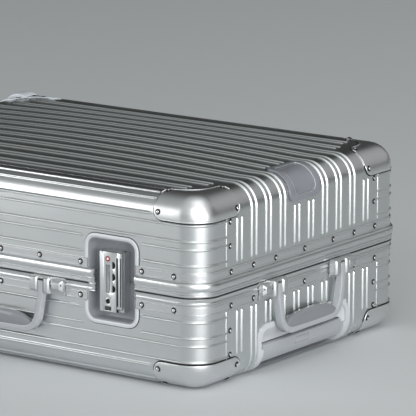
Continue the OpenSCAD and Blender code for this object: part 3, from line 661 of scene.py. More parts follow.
class Term:
    """A socket in a shader tree, on which sums and products add Math nodes."""

    def __init__(self, tree: "Tree", socket: bpy.types.NodeSocket) -> None:
        """Wrap a socket."""
        self.tree, self.socket = tree, socket

    def _math(self, kind: str, *values: "Term | float") -> "Term":
        """Add a Math node on some values."""
        return self.tree.node("ShaderNodeMath", {"operation": kind}, dict(enumerate(values)))

    def __add__(self, other: "Term | float") -> "Term":
        """Add."""
        return self._math("ADD", self, other)

    __radd__ = __add__

    def __mul__(self, other: "Term | float") -> "Term":
        """Multiply."""
        return self._math("MULTIPLY", self, other)

    __rmul__ = __mul__

    def __sub__(self, other: "Term | float") -> "Term":
        """Subtract a value from this one."""
        return self._math("SUBTRACT", self, other)

    def __rsub__(self, other: float) -> "Term":
        """Subtract this value from a number."""
        return self._math("SUBTRACT", other, self)

    def clamp(self, low: float, high: float) -> "Term":
        """Hold the value between two numbers."""
        return self._math("MINIMUM", self._math("MAXIMUM", self, low), high)

    def power(self, exponent: float) -> "Term":
        """Raise the value to a power."""
        return self._math("POWER", self, exponent)


class Tree:
    """The node tree of one material."""

    def __init__(self, name: str) -> None:
        """Make an empty material."""
        self.material = bpy.data.materials.new(name)
        self.material.use_nodes = True
        self.nodes = self.material.node_tree.nodes
        self.links = self.material.node_tree.links
        self.nodes.clear()

    def node(self, kind: str, settings: dict | None = None, values: dict | None = None, out: int | str = 0) -> Term:
        """Add a node.

        Args:
            kind: Type of the node.
            settings: Its settings, set first; "stops" are a ramp's (place, colour) pairs.
            values: Values or links of its sockets, by name or number.
            out: The output that is returned.

        Returns:
            The chosen output.
        """
        node = self.nodes.new(kind)
        for key, value in (settings or {}).items():
            if key == "stops":
                ramp = node.color_ramp.elements
                for k, (place, colour) in enumerate(value):
                    stop = ramp[k] if k < len(ramp) else ramp.new(place)
                    stop.position, stop.color = place, colour
            else:
                setattr(node, key, value)
        for key, value in (values or {}).items():
            socket = node.inputs[key]
            if isinstance(value, Term):
                self.links.new(value.socket, socket)
            else:
                socket.default_value = value
        return Term(self, node.outputs[out])

    def place(self, scale: Spot = (1, 1, 1)) -> Term:
        """Object coordinates, stretched by a scale."""
        spot = self.node("ShaderNodeTexCoord", out="Object")
        return self.node("ShaderNodeMapping", None, {"Vector": spot, "Scale": scale})

    def noise(self, scale: float, stretch: Spot = (1, 1, 1), detail: float = 2.0) -> Term:
        """Noise on object coordinates.

        Args:
            scale: Scale of the noise, per metre.
            stretch: Stretch of the coordinates.
            detail: Octaves.

        Returns:
            The noise's factor.
        """
        return self.node(
            "ShaderNodeTexNoise", None, {"Vector": self.place(stretch), "Scale": scale, "Detail": detail}
        )

    def blend(self, factor: Term, a: Sequence[float], b: Sequence[float]) -> Term:
        """Mix two colours by a factor."""
        mixed = self.node("ShaderNodeMix", {"data_type": "RGBA"}, {0: factor, 6: (*a, 1.0), 7: (*b, 1.0)}, out=2)
        return mixed

    def bump(self, height: Term, distance: float, strength: float = 1.0) -> Term:
        """Turn a height into a normal."""
        return self.node("ShaderNodeBump", None, {"Height": height, "Distance": distance, "Strength": strength})

    def surface(self, **values: "Term | float | tuple") -> bpy.types.Material:
        """End the tree in a principled surface.

        Args:
            values: Socket values, with spaces in names written as underscores.

        Returns:
            The material.
        """
        named = {key.replace("_", " "): value for key, value in values.items()}
        shader = self.node("ShaderNodeBsdfPrincipled", None, named)
        self.node_out(shader)
        return self.material

    def node_out(self, shader: Term) -> None:
        """Join a shader to the material's output."""
        end = self.nodes.new("ShaderNodeOutputMaterial")
        self.links.new(shader.socket, end.inputs["Surface"])


@dataclass(frozen=True)
class Metal:
    """A metal finish with a grain, faint clouds of wear and fine scratches."""

    name: str
    colour: Spot
    rough: float
    grain: Spot = (40.0, 900.0, 900.0)
    grain_depth: float = 0.00002
    cloud: float = 0.05

    def make(self) -> bpy.types.Material:
        """Make the material."""
        tree = Tree(self.name)
        grain = tree.noise(1.0, self.grain, 3.0)
        clouds = tree.noise(7.0, (1, 1, 1), 3.0)
        scratches = tree.noise(22.0, (1.0, 6.0, 9.0), 4.0).power(5.0)
        rough = (clouds - 0.5) * self.cloud * 2.0 + (grain - 0.5) * 0.05 + scratches * 0.1 + self.rough
        dull = tuple(0.91 * c for c in self.colour)
        colour = tree.blend((clouds * 0.55 + grain * 0.45).clamp(0.0, 1.0), dull, self.colour)
        return tree.surface(
            Base_Color=colour,
            Metallic=1.0,
            Roughness=rough.clamp(0.08, 0.9),
            Normal=tree.bump(grain, self.grain_depth),
        )


@dataclass(frozen=True)
class Moulded:
    """A moulded plastic or rubber with an eroded grain and handling marks."""

    name: str
    colour: Spot
    rough: float
    grain: float = 1400.0
    grain_depth: float = 0.00004
    coat: float = 0.0
    shine: float = 0.5

    def make(self) -> bpy.types.Material:
        """Make the material."""
        tree = Tree(self.name)
        pits = tree.noise(self.grain, (1, 1, 1), 2.0)
        marks = tree.noise(14.0, (1, 1, 1), 4.0)
        light = tuple(min(1.0, 1.12 * c + 0.01) for c in self.colour)
        colour = tree.blend((marks * 0.7 + pits * 0.3).clamp(0.0, 1.0), self.colour, light)
        rough = (marks - 0.5) * 0.16 + (pits - 0.5) * 0.1 + self.rough
        return tree.surface(
            Base_Color=colour,
            Roughness=rough.clamp(0.1, 0.95),
            Coat_Weight=self.coat,
            Specular_IOR_Level=self.shine,
            Normal=tree.bump(pits, self.grain_depth),
        )


@dataclass(frozen=True)
class Woven:
    """A plain-weave lining cloth."""

    name: str
    colour: Spot
    thread: float = 0.0011

    def make(self) -> bpy.types.Material:
        """Make the material."""
        tree = Tree(self.name)
        turns = 1.0 / self.thread
        waves = [
            tree.node(
                "ShaderNodeTexWave",
                {"bands_direction": way},
                {"Vector": tree.place(), "Scale": turns * 0.16, "Distortion": 0.6, "Detail": 1.0},
                out=1,
            )
            for way in ("X", "Y", "Z")
        ]
        weave = waves[0] * 0.34 + waves[1] * 0.33 + waves[2] * 0.33
        wear = tree.noise(9.0, (1, 1, 1), 4.0)
        dark = tuple(0.62 * c for c in self.colour)
        colour = tree.blend((weave * 0.75 + wear * 0.35).clamp(0.0, 1.0), dark, self.colour)
        return tree.surface(
            Base_Color=colour,
            Roughness=((wear - 0.5) * 0.1 + 0.88).clamp(0.6, 1.0),
            Sheen_Weight=0.35,
            Normal=tree.bump(weave, 0.00035),
        )


class Finishes:
    """Every finish of the case, made once and kept by slot."""

    SPECS: tuple[Metal | Moulded | Woven, ...] = (
        Metal("shell_sheet", (0.75, 0.775, 0.775), 0.31, (14, 420, 14), 0.000002, 0.03),
        Metal("side_sheet", (0.75, 0.77, 0.775), 0.31, (10, 420, 420), 0.000002, 0.03),
        Metal("frame_metal", (0.78, 0.79, 0.80), 0.31, (2, 2, 160), 0.0, 0.02),
        # A lighter copy of the cap metal for the raised rim wires of the caps and badge: the wires are real, their
        # lighter colour a painted highlight.
        Metal("rim_metal", (0.92, 0.93, 0.93), 0.36, (200, 200, 200), 0.0, 0.02),
        Metal("cap_metal", (0.80, 0.81, 0.82), 0.35, (40, 40, 40), 0.0, 0.02),
        Metal("bracket_metal", (0.66, 0.67, 0.68), 0.44, (200, 200, 400), 0.000002),
        Metal("tube_metal", (0.74, 0.75, 0.76), 0.24, (12, 1300, 1300)),
        # Bright steel on the rivet domes' upper faces paints their highlight; the near-black steel of the next line on
        # their lower faces paints their shade.
        Metal("rivet_steel", (0.93, 0.93, 0.93), 0.22, (300, 300, 300), 0.000001, 0.04),
        Metal("rivet_shade", (0.045, 0.045, 0.048), 0.3, (300, 300, 300), 0.000001, 0.04),
        Metal("pin_steel", (0.66, 0.66, 0.67), 0.2, (500, 500, 500)),
        Metal("lock_metal", (0.80, 0.81, 0.82), 0.34, (200, 200, 500), 0.000002),
        Moulded("badge_metal", (0.20, 0.208, 0.235), 0.36, 700.0, 0.00001, 0.4),
        Moulded("pan_plastic", (0.55, 0.57, 0.595), 0.34, coat=0.4),
        # Darker than the pan plastic of the rims, painting the shade inside the lock pans' deep tubs.
        Moulded("tub_plastic", (0.25, 0.26, 0.28), 0.42, coat=0.2),
        Moulded("handle_plastic", (0.36, 0.376, 0.395), 0.34, coat=0.35),
        Moulded("grip_plastic", (0.20, 0.21, 0.224), 0.34, 300.0, 0.00002, 0.4),
        Moulded("housing_plastic", (0.58, 0.61, 0.65), 0.4, coat=0.2),
        Moulded("dial_plastic", (0.93, 0.93, 0.91), 0.35),
        Moulded("button_plastic", (0.035, 0.035, 0.04), 0.4),
        Moulded("wheel_rubber", (0.028, 0.028, 0.03), 0.62, 900.0, 0.00008),
        Moulded("seal_rubber", (0.02, 0.02, 0.022), 0.7),
        # Near-black finish for painted shade: lines, rings, discs, strips and slots that stand for the shade in gaps,
        # notches, holes and sinks.
        Moulded("recess_dark", (0.014, 0.015, 0.017), 0.8, shine=0.15),
        Moulded("mark_red", (0.27, 0.006, 0.008), 0.6, shine=0.1),
        Moulded("mark_ink", (0.02, 0.02, 0.02), 0.5),
        Woven("lining_cloth", (0.16, 0.165, 0.18)),
    )

    def __init__(self) -> None:
        """Make all the materials."""
        self.made = {spec.name: spec.make() for spec in self.SPECS}

    def dress(self, piece: bpy.types.Object, *names: str) -> bpy.types.Object:
        """Give a piece its finishes, the first of which covers it unless faces say otherwise."""
        piece.data.materials.clear()
        for name in names:
            piece.data.materials.append(self.made[name])
        return piece

    def dress_cad(self) -> None:
        """Give every node of the frame its own slot's finish."""
        slots = {s["node"]: s["material_slot"] for s in frame["record"]["subparts"]}
        for name, node in frame["nodes"].items():
            node.data.materials.clear()
            node.data.materials.append(self.made[slots[name]])


@dataclass
class Assembly:
    """What all sub-assemblies share: the finishes, and the way a finished piece is put in."""

    finishes: Finishes

    def put(
        self, piece: bpy.types.Object, body: str, *nodes: str, finish: Sequence[str], angle: float = 35.0
    ) -> bpy.types.Object:
        """Bring a piece to metres, shade and dress it, and fix it to a body.

        Args:
            piece: The piece, in millimetres.
            body: The body that it rides on.
            nodes: The nodes that it stands for.
            finish: Its finishes, the first one that of its slot.
            angle: Angle over which edges stay sharp.

        Returns:
            The piece.
        """
        Bench.to_metres(piece)
        Bench.smooth(piece, angle)
        Bench.clear()
        if not piece.data.materials:
            self.finishes.dress(piece, *finish)
        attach(piece, body)
        if nodes:
            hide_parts(*nodes)
        finish[0] not in ("recess_dark", "mark_red", "mark_ink")
        LOG.info("%s: %d faces on %s", piece.name, len(piece.data.polygons), body)
        return piece

    def soften(self, node: str, name: str, width: float, segments: int = 2) -> bpy.types.Object:
        """Copy a node's shape, merge it and round its edges.

        Args:
            node: The node.
            name: Name of the copy.
            width: Width of the rounding, in millimetres.
            segments: Facets of the rounding.

        Returns:
            The copy, in millimetres.
        """
        source = frame["nodes"][node]
        piece = bpy.data.objects.new(name, source.data.copy())
        bpy.context.scene.collection.objects.link(piece)
        piece.data.name = name
        piece.data.materials.clear()
        piece.data.transform(Matrix.Scale(1000.0, 4))
        Bench.edit(piece)
        bpy.ops.mesh.customdata_custom_splitnormals_clear()
        bpy.ops.mesh.select_all(action="SELECT")
        bpy.ops.mesh.remove_doubles(threshold=0.004)
        bpy.ops.mesh.dissolve_limited(angle_limit=math.radians(0.6))
        Bench.clear()
        if width:
            Bench.round_edges(piece, width, segments)
        return piece


# ---- shell ----


@dataclass
class Shell(Assembly):
    """The pressed sheets of one half, with their beads and seams."""

    half: Half = Half.LID
    bead: BeadShape = field(default_factory=BeadShape)
    pan_half_w: float = 36.25
    pan_tops: tuple[float, float] = (55.0, 49.0)
    bead_tops: tuple[float, float] = (64.0, 58.0)
    lock_gap: float = 47.5
    bend_reach: float = 232.0
    outer_reach: float = 254.0
    next_reach: float = 264.0
    end_stub: float = 50.5
    back_stub_h: float = 33.4
    badge_stub: float = 45.0
    badge_reach: float = 262.0
    recess_half_w: float = 104.0
    recess_stub: float = 23.2
    recess_reach: float = 260.0
    levels: tuple[float, ...] = (35.5, 55.7, 65.9, 86.1)
    bend_levels: tuple[float, ...] = (96.3, 116.5, 126.7)

    def over_end(self) -> tuple[Line, Arc, Line]:
        """Moves up the wall's bend on the handle end, to where the crown begins."""
        c = CASE
        return (
            Line((0, 0, c.bend_h - 12)),
            Arc((c.half_l - c.edge_r, 0, c.bend_h), (0, 1, 0), -90, 10),
            Line((c.crown_x + c.edge_r - c.half_l, 0, 0)),
        )

    def face_skin(self) -> bpy.types.Object:
        """The face with both bent ends, and its two flat side strips."""
        c = CASE
        section = [(c.half_l, -c.seam_y + 2 * c.seam_y * k / 16, 12.0) for k in range(17)]
        up = self.over_end()
        skin = Sweep("skin", section).follow(
            *up,
            Line((-2 * c.crown_x, 0, 0), 22),
            up[2],
            Arc((c.edge_r - c.half_l, 0, c.bend_h), (0, 1, 0), -90, 10),
            Line((0, 0, 12 - c.bend_h)),
        ).done(walls=c.sheet_t)
        strips = []
        for side in (-1, 1):
            line = [(c.half_l - c.edge_r - 2, side * y, c.depth) for y in (c.seam_y, 174.5, 180.0, 195.0)]
            strip = Sweep("strip", line).follow(Line((-2 * (c.half_l - c.edge_r - 2), 0, 0), 24)).done()
            if strip.data.polygons[0].normal.z < 0:
                strip.data.flip_normals()
            strips.append(Bench.apply(strip, "SOLIDIFY", thickness=c.sheet_t, offset=-1.0))
        return Bench.join("skin", [skin, *strips])

    def face_bead(self, y: float, moves: Sequence[Move], start: Spot, out: Spot) -> bpy.types.Object:
        """One bead at a distance from the middle."""
        return Bead(self.bead, (start[0], y, start[2]), out, moves).build("bead")

    def face_beads(self) -> list[bpy.types.Object]:
        """All beads of the face and the ends."""
        c = CASE
        inner = c.half_l - c.edge_r
        rise = Line((0, 0, c.bend_h - 33.4))
        bend_up = Arc((inner, 0, c.bend_h), (0, 1, 0), -90, 10)
        bend_down = Arc((-inner, 0, c.bend_h), (0, 1, 0), -90, 10)
        fall = Line((0, 0, 33.4 - c.bend_h))
        run_in = Line((c.crown_x - inner, 0, 0))
        foot = (c.half_l, 0.0, 33.4)
        beads: list[bpy.types.Object] = []
        for i in range(6):
            for shift in (-c.rib_gap / 2, c.rib_gap / 2):
                y = (i + 0.5) * c.rib_pitch + shift
                for sign in (-1, 1):
                    beads += self.bead_row(i, sign * y, rise, bend_up, run_in, bend_down, fall, foot)
        return beads

    def bead_row(
        self, i: int, y: float, rise: Line, bend_up: Arc, run_in: Line, bend_down: Arc, fall: Line, foot: Spot
    ) -> list[bpy.types.Object]:
        """The beads at one place across the case.

        Args:
            i: Number of the pair, from the middle.
            y: Distance across the case.
            rise: Move up the wall.
            bend_up: Turn onto the face.
            run_in: Move to where the crown begins.
            bend_down: Turn off the face.
            fall: Move down the far wall.
            foot: Where a bead begins on the wall.

        Returns:
            The beads.
        """
        c = CASE
        out_x, out_h = (1.0, 0.0, 0.0), (0.0, 0.0, 1.0)
        if i == 5:
            over = (Line((-2 * self.outer_reach, 0, 0), 22),)
            return [self.face_bead(y, over, (self.outer_reach, 0, c.depth), out_h)]
        if i == 4:
            stub = Line((0, 0, self.end_stub))
            back = (-c.half_l, 0.0, self.back_stub_h)
            over = (Line((-2 * self.next_reach, 0, 0), 22),)
            return [
                self.face_bead(y, (stub,), foot, out_x),
                self.face_bead(y, (stub,), back, (-1.0, 0.0, 0.0)),
                self.face_bead(y, over, (self.next_reach, 0, c.depth), out_h),
            ]
        if self.half is Half.LID and i == 0:
            over = Line((-c.crown_x - self.badge_reach, 0, 0), 22)
            return [
                self.face_bead(y, (Line((0, 0, self.badge_stub)),), foot, out_x),
                self.face_bead(y, (over, run_in, bend_down, fall), (self.badge_reach, 0, c.depth), out_h),
            ]
        if self.half is Half.BASE and abs(y) < self.recess_half_w:
            over = Line((-c.crown_x - self.recess_reach, 0, 0), 22)
            return [
                self.face_bead(y, (Line((0, 0, self.recess_stub)),), foot, out_x),
                self.face_bead(y, (over, run_in, bend_down, fall), (self.recess_reach, 0, c.depth), out_h),
            ]
        over = Line((-2 * c.crown_x, 0, 0), 22)
        return [self.face_bead(y, (rise, bend_up, run_in, over, run_in, bend_down, fall), foot, out_x)]

    def crown_up(self, piece: bpy.types.Object) -> None:
        """Raise the lid's face to its crown."""
        if self.half is Half.BASE:
            return
        for vert in piece.data.vertices:
            if vert.co.z > CASE.depth - 4:
                vert.co.z += CASE.crown_at(vert.co.x, vert.co.y)

    def face(self) -> None:
        """Build the face sheet."""
        skin = self.face_skin()
        name = f"{self.half.word}_face_pressing"
        if self.half is Half.BASE:
            Bench.cut(skin, recess_block(grow=-3.7, deep=44.3, front=40.0))
        piece = Bench.join(name, [skin, *self.face_beads()])
        self.crown_up(piece)
        Bench.in_half(piece, self.half)
        node = "lid_face_sheet" if self.half is Half.LID else "base_back_sheet"
        self.put(piece, self.half.word, node, finish=("shell_sheet",), angle=28)

    def side_skin(self, side: Side) -> bpy.types.Object:
        """The sheet of one long side with its turned legs."""
        c = CASE
        inner_x, inner_y = c.half_l - c.corner_r, c.half_w - c.corner_r
        wall = [(c.half_l, c.seam_y, h) for h in (12.0, c.bend_h)]
        skin = Sweep("wall", wall).follow(
            Line((0, inner_y - c.seam_y, 0)),
            Arc((inner_x, inner_y, 0), (0, 0, 1), 90, 12),
            Line((-2 * inner_x, 0, 0)),
            Arc((-inner_x, inner_y, 0), (0, 0, 1), 90, 12),
            Line((0, c.seam_y - inner_y, 0)),
        ).done()
        bend = [
            (inner_x, y, h) for y, h in arc_points(c.top_y, c.bend_h, c.edge_r, 0, 90, 10)
        ]
        over = Sweep("bend", bend).follow(Line((-2 * inner_x, 0, 0))).done()
        for part in (skin, over):
            face = max(part.data.polygons, key=lambda f: f.center.y)
            if face.normal.y < 0:
                part.data.flip_normals()
        skin = Bench.join("skin", [skin, over])
        Bench.edit(skin)
        bpy.ops.mesh.select_all(action="SELECT")
        bpy.ops.mesh.remove_doubles(threshold=0.002)
        Bench.clear()
        Bench.apply(skin, "SOLIDIFY", thickness=c.sheet_t, offset=-1.0)
        if side is Side.LOCK:
            top = self.pan_tops[0] if self.half is Half.LID else self.pan_tops[1]
            for x in (-c.lock_x, c.lock_x):
                room = pan_block(x, self.pan_half_w, top, r=11.5, low=0.0, span=(-12.0, 4.0), side=1.0)
                Bench.cut(skin, room)
        return skin

    def side_bead(self, start: Spot, out: Spot, *moves: Move) -> bpy.types.Object:
        """One bead that starts on a side with its back to the sheet."""
        return Bead(self.bead, start, out, moves).build("bead")

    def side_beads(self, side: Side) -> list[bpy.types.Object]:
        """All beads of one long side, drawn on +Y."""
        c = CASE
        inner_x, inner_y = c.half_l - c.corner_r, c.half_w - c.corner_r
        pan_top = self.bead_tops[0] if self.half is Half.LID else self.bead_tops[1]
        beads = []
        for h in self.levels:
            cut = side is Side.LOCK and h < pan_top
            whole = h < 44
            lead = (
                Line((0, inner_y - c.seam_y - 1.6, 0)),
                Arc((inner_x, inner_y, 0), (0, 0, 1), 90, 12),
            )
            tail = (
                Arc((-inner_x, inner_y, 0), (0, 0, 1), 90, 12),
                Line((0, c.seam_y + 1.6 - inner_y, 0)),
            )
            start = (c.half_l, c.seam_y + 1.6, h)
            out_x, out_y = (1.0, 0.0, 0.0), (0.0, 1.0, 0.0)
            gap0, gap1 = c.lock_x - self.lock_gap, c.lock_x + self.lock_gap
            if cut:
                outer = Line((gap1 - inner_x, 0, 0))
                beads.append(self.side_bead(start, out_x, *lead, outer))
                beads.append(self.side_bead((gap0, c.half_w, h), out_y, Line((-2 * gap0, 0, 0))))
                if whole:
                    beads.append(self.side_bead((-gap1, c.half_w, h), out_y, outer, *tail))
            elif whole:
                beads.append(self.side_bead(start, out_x, *lead, Line((-2 * inner_x, 0, 0)), *tail))
            else:
                beads.append(self.side_bead(start, out_x, *lead, Line((-inner_x - self.bend_reach, 0, 0))))
        for s in self.bend_levels:
            turn = (s - c.bend_h) / c.edge_r
            out = (0.0, math.cos(turn), math.sin(turn))
            spot = (self.bend_reach, c.top_y + c.edge_r * out[1], c.bend_h + c.edge_r * out[2])
            beads.append(self.side_bead(spot, out, Line((-2 * self.bend_reach, 0, 0))))
        return beads

    def folds(self) -> list[bpy.types.Object]:
        """The folded seams at the ends of the side sheet's legs."""
        fold = BeadShape(width=3.0, height=1.1, sink=0.3, facets=3)
        y, low, rise = CASE.seam_y + 0.9, 30.0, (Line((0, 0, 62.5)),)
        return [
            Bead(fold, (end.value * CASE.half_l, y, low), (end.value, 0, 0), rise).build("fold")
            for end in End
        ]

    def sides(self) -> None:
        """Build both side sheets."""
        for side in Side:
            word = side.word
            parts = [self.side_skin(side), *self.side_beads(side), *self.folds()]
            piece = Bench.join(f"{self.half.word}_{word}_side_pressing", parts)
            if side is Side.LOCK:
                piece.data.transform(Matrix.Diagonal((1, -1, 1, 1)))
                piece.data.flip_normals()
            Bench.in_half(piece, self.half)
            self.finishes.dress(piece, "side_sheet")
            self.put(piece, self.half.word, f"{self.half.word}_{word}_side_sheet", finish=("shell_sheet",), angle=28)

    def build(self) -> None:
        """Build the half's sheets."""
        self.face()
        self.sides()


def corner_arcs(x: float, y: float, steps: int, first: int = 0) -> list[Arc]:
    """Quarter turns round the four corners of a rectangle.

    Args:
        x: Half the distance between the turns' centres along X.
        y: Half the distance along Y.
        steps: Steps of each turn.
        first: 0 to start at the +X +Y corner, -1 to start at the one before it.

    Returns:
        The turns, in their order round the rectangle.
    """
    signs = ((1, 1), (-1, 1), (-1, -1), (1, -1))
    order = [signs[k % 4] for k in range(first, first + 4)]
    return [Arc((sx * x, sy * y, 0), (0, 0, 1), 90, steps) for sx, sy in order]


def recess_block(grow: float, deep: float, front: float) -> bpy.types.Object:
    """Block that fills the pull handle's recess, drawn in (x, y, h).

    Args:
        grow: Distance of its outline outside the recess's mouth.
        deep: How far it reaches behind the end.
        front: How far it reaches before the end.

    Returns:
        The block.
    """
    half_w, corner, mouth_low, above = 102.0, 22.0, 60.0, 150.0
    w, r, low = half_w + grow, corner + grow, mouth_low - grow
    left = arc_points(r - w, low + r, r, 180, 270, 8)
    right = arc_points(w - r, low + r, r, 270, 360, 8)
    flat = [(-w, above), *left, *right, (w, above)]
    return outline_block("recess", [(CASE.half_l - deep, y, h) for y, h in flat], (deep + front, 0, 0))


def pan_block(
    x: float, w: float, top: float, r: float, low: float, span: tuple[float, float], side: float
) -> bpy.types.Object:
    """U-shaped block over a lock pan, drawn in (x, y, h).

    Args:
        x: Middle of the pan.
        w: Half width of the block.
        top: Height of its top.
        r: Radius of its corners.
        low: Height of its lower end.
        span: Distances from the sheet between which it lies.
        side: Sign of the long side's Y.

    Returns:
        The block.
    """
    left = reversed(arc_points(r - w, top - r, r, 90, 180, 8))
    right = reversed(arc_points(w - r, top - r, r, 0, 90, 8))
    flat = [(-w, low), *left, *right, (w, low)]
    y = side * (CASE.half_w + span[0])
    return outline_block("pan", [(x + a, y, h) for a, h in flat], (0, side * (span[1] - span[0]), 0))


# ---- frames, seal and rivets ----


@dataclass
class Frames(Assembly):
    """The two meeting frames with their fine lines, and the seal between them."""

    gap: float = 37.45
    stub_end: float = 25.0
    line_deep: float = 0.5
    lid_lines: tuple[float, ...] = (17.4, 25.0)
    base_lines: tuple[float, ...] = (16.4, 25.0)
    lip: tuple[float, float, float] = (8.7, 5.6, 3.7)

    def flange(self, first: float, lines: Sequence[float]) -> list[tuple[float, float]]:
        """Outer face of a flange from its lower edge up, then its back down to the slot.

        Args:
            first: Height at which the face begins.
            lines: Heights of the grooves.

        Returns:
            Points (u, h).
        """
        u = CASE.flange_u
        points = [(u, first)]
        for h in lines:
            points += [(u, h - 0.65), (u - self.line_deep, h - 0.2), (u - self.line_deep, h + 0.2), (u, h + 0.65)]
        return points + [(u, 26.5), (u - 0.5, 27.0), (0.1, 27.0), (0.1, 10.2)]

    def lid_section(self) -> list[tuple[float, float]]:
        """Section of the lid's frame: a thin lower edge, the wide round lip, a groove and the flange."""
        middle, high, out = self.lip
        angles = [math.radians(-90 + 15 * k) for k in range(13)]
        bulge = [(1.3 + out * math.cos(a) ** 0.62, middle + high * math.sin(a)) for a in angles[1:-1]]
        edge = [(-8.0, 0.15), (3.0, 0.15), (3.5, 0.5), (3.5, 1.8), (3.1, 2.3), (2.2, 2.6), (2.2, 3.0)]
        inner = [(-1.3, 10.2), (-1.3, 27.0), (-2.8, 27.0), (-2.8, 3.15), (-8.0, 3.15)]
        return [*edge, *bulge, (1.1, 14.6), (0.5, 14.9), (0.5, 15.5), *self.flange(15.7, self.lid_lines), *inner]

    def base_section(self) -> list[tuple[float, float]]:
        """Section of the base's frame: an edge over the seal's slot, a leaning band, a ridge and the flange."""
        edge = [(-8.0, 0.0), (2.6, 0.0), (3.2, 0.5), (3.3, 1.8), (3.2, 2.8), (2.7, 3.3), (0.5, 3.5)]
        band = [(0.5, 5.4), (2.6, 5.4), (2.9, 5.8), (2.5, 6.9), (1.9, 8.2), (1.3, 9.4), (1.0, 10.6), (1.2, 11.1)]
        ridge = [(2.3, 11.4), (2.6, 11.9), (2.5, 12.7), (2.0, 13.1), (0.8, 13.3), (0.8, 14.0)]
        inner = [(-1.3, 10.0), (-1.3, 27.0), (-2.8, 27.0), (-2.8, 3.0), (-8.0, 3.0)]
        return [*edge, *band, *ridge, *self.flange(14.3, self.base_lines), *inner]

    def long_way(self, section: Sequence[tuple[float, float]]) -> bpy.types.Object:
        """Carry a section round the case from one lock pan to the other."""
        c = CASE
        inner_x, inner_y = c.half_l - c.corner_r, c.half_w - c.corner_r
        start = c.lock_x + self.gap
        turn = corner_arcs(inner_x, inner_y, 14, first=-1)
        ring = [(start, -c.half_w - u, h) for u, h in section]
        return Sweep("frame", ring, ring=True).follow(
            Line((inner_x - start, 0, 0)), turn[0], Line((0, 2 * inner_y, 0)), turn[1],
            Line((-2 * inner_x, 0, 0)), turn[2], Line((0, -2 * inner_y, 0)), turn[3],
            Line((inner_x - start, 0, 0)),
        ).done(close=True)

    def short_way(self, section: Sequence[tuple[float, float]]) -> bpy.types.Object:
        """Carry a section along the piece between the lock pans."""
        end = CASE.lock_x - self.gap
        ring = [(-end, -CASE.half_w - u, h) for u, h in section]
        return Sweep("frame", ring, ring=True).follow(Line((2 * end, 0, 0))).done(close=True)

    def stubs(self, section: Sequence[tuple[float, float]]) -> list[bpy.types.Object]:
        """The rail's lower part, run on into the recess beside each lock."""
        lower = [p for p in section if p[0] > 0 and p[1] < 14.7]
        lower += [(-2.6, lower[-1][1]), (-2.6, lower[0][1])]
        pieces = []
        for x in (-CASE.lock_x, CASE.lock_x):
            ring = [(x - self.gap, -CASE.half_w - u, h) for u, h in lower]
            run = Line((self.gap - self.stub_end, 0, 0))
            pieces.append(Bench.round_edges(Sweep("stub", ring, ring=True).follow(run).done(close=True), 0.4, 2, 70))
        return pieces

    def ties(self) -> list[bpy.types.Object]:
        """Tie bars that pass behind the lock pans."""
        y, bars = -CASE.half_w, []
        (near, far), (low, high) = (38.75, 46.75), (0.2, 12.0)
        for x in (-CASE.lock_x, CASE.lock_x):
            bars.append(Bench.box("tie", (x - far, y + 20.0, low), (x + far, y + 24.0, high)))
            for s in (-1, 1):
                a, b = sorted((x + s * near, x + s * far))
                bars.append(Bench.box("tie", (a, y + 1.2, low), (b, y + 23.2, high)))
        return [Bench.round_edges(bar, 0.6) for bar in bars]

    def build(self) -> None:
        """Build both frames and the seal."""
        for half, section in ((Half.LID, self.lid_section()), (Half.BASE, self.base_section())):
            word = half.word
            parts = [self.long_way(section), self.short_way(section), *self.stubs(section), *self.ties()]
            for part in parts:
                turn_out(part)
            piece = Bench.in_half(Bench.join(f"{word}_frame_rail", parts), half)
            self.put(piece, word, f"{word}_frame", finish=("frame_metal",), angle=24)
        cord = [(0.55, 3.7), *arc_points(1.5, 4.45, 0.75, -90, 90, 8), (0.55, 5.2)]
        parts = [self.long_way(cord), self.short_way(cord)]
        for part in parts:
            turn_out(part)
        piece = Bench.in_half(Bench.join("frame_seal_strip", parts), Half.BASE)
        self.put(piece, "base", "frame_seal", finish=("seal_rubber",))


def turn_out(piece: bpy.types.Object) -> bpy.types.Object:
    """Turn a closed piece right side out by the sign of its volume."""
    mesh = piece.data
    mesh.calc_loop_triangles()
    total = 0.0
    for tri in mesh.loop_triangles:
        a, b, c = (mesh.vertices[k].co for k in tri.vertices)
        total += a.dot(b.cross(c))
    if total < 0:
        mesh.flip_normals()
    return piece


@dataclass(frozen=True)
class Seat:
    """Where a rivet sits, in (x, y, h), and the way its head faces."""

    spot: Spot
    out: Spot


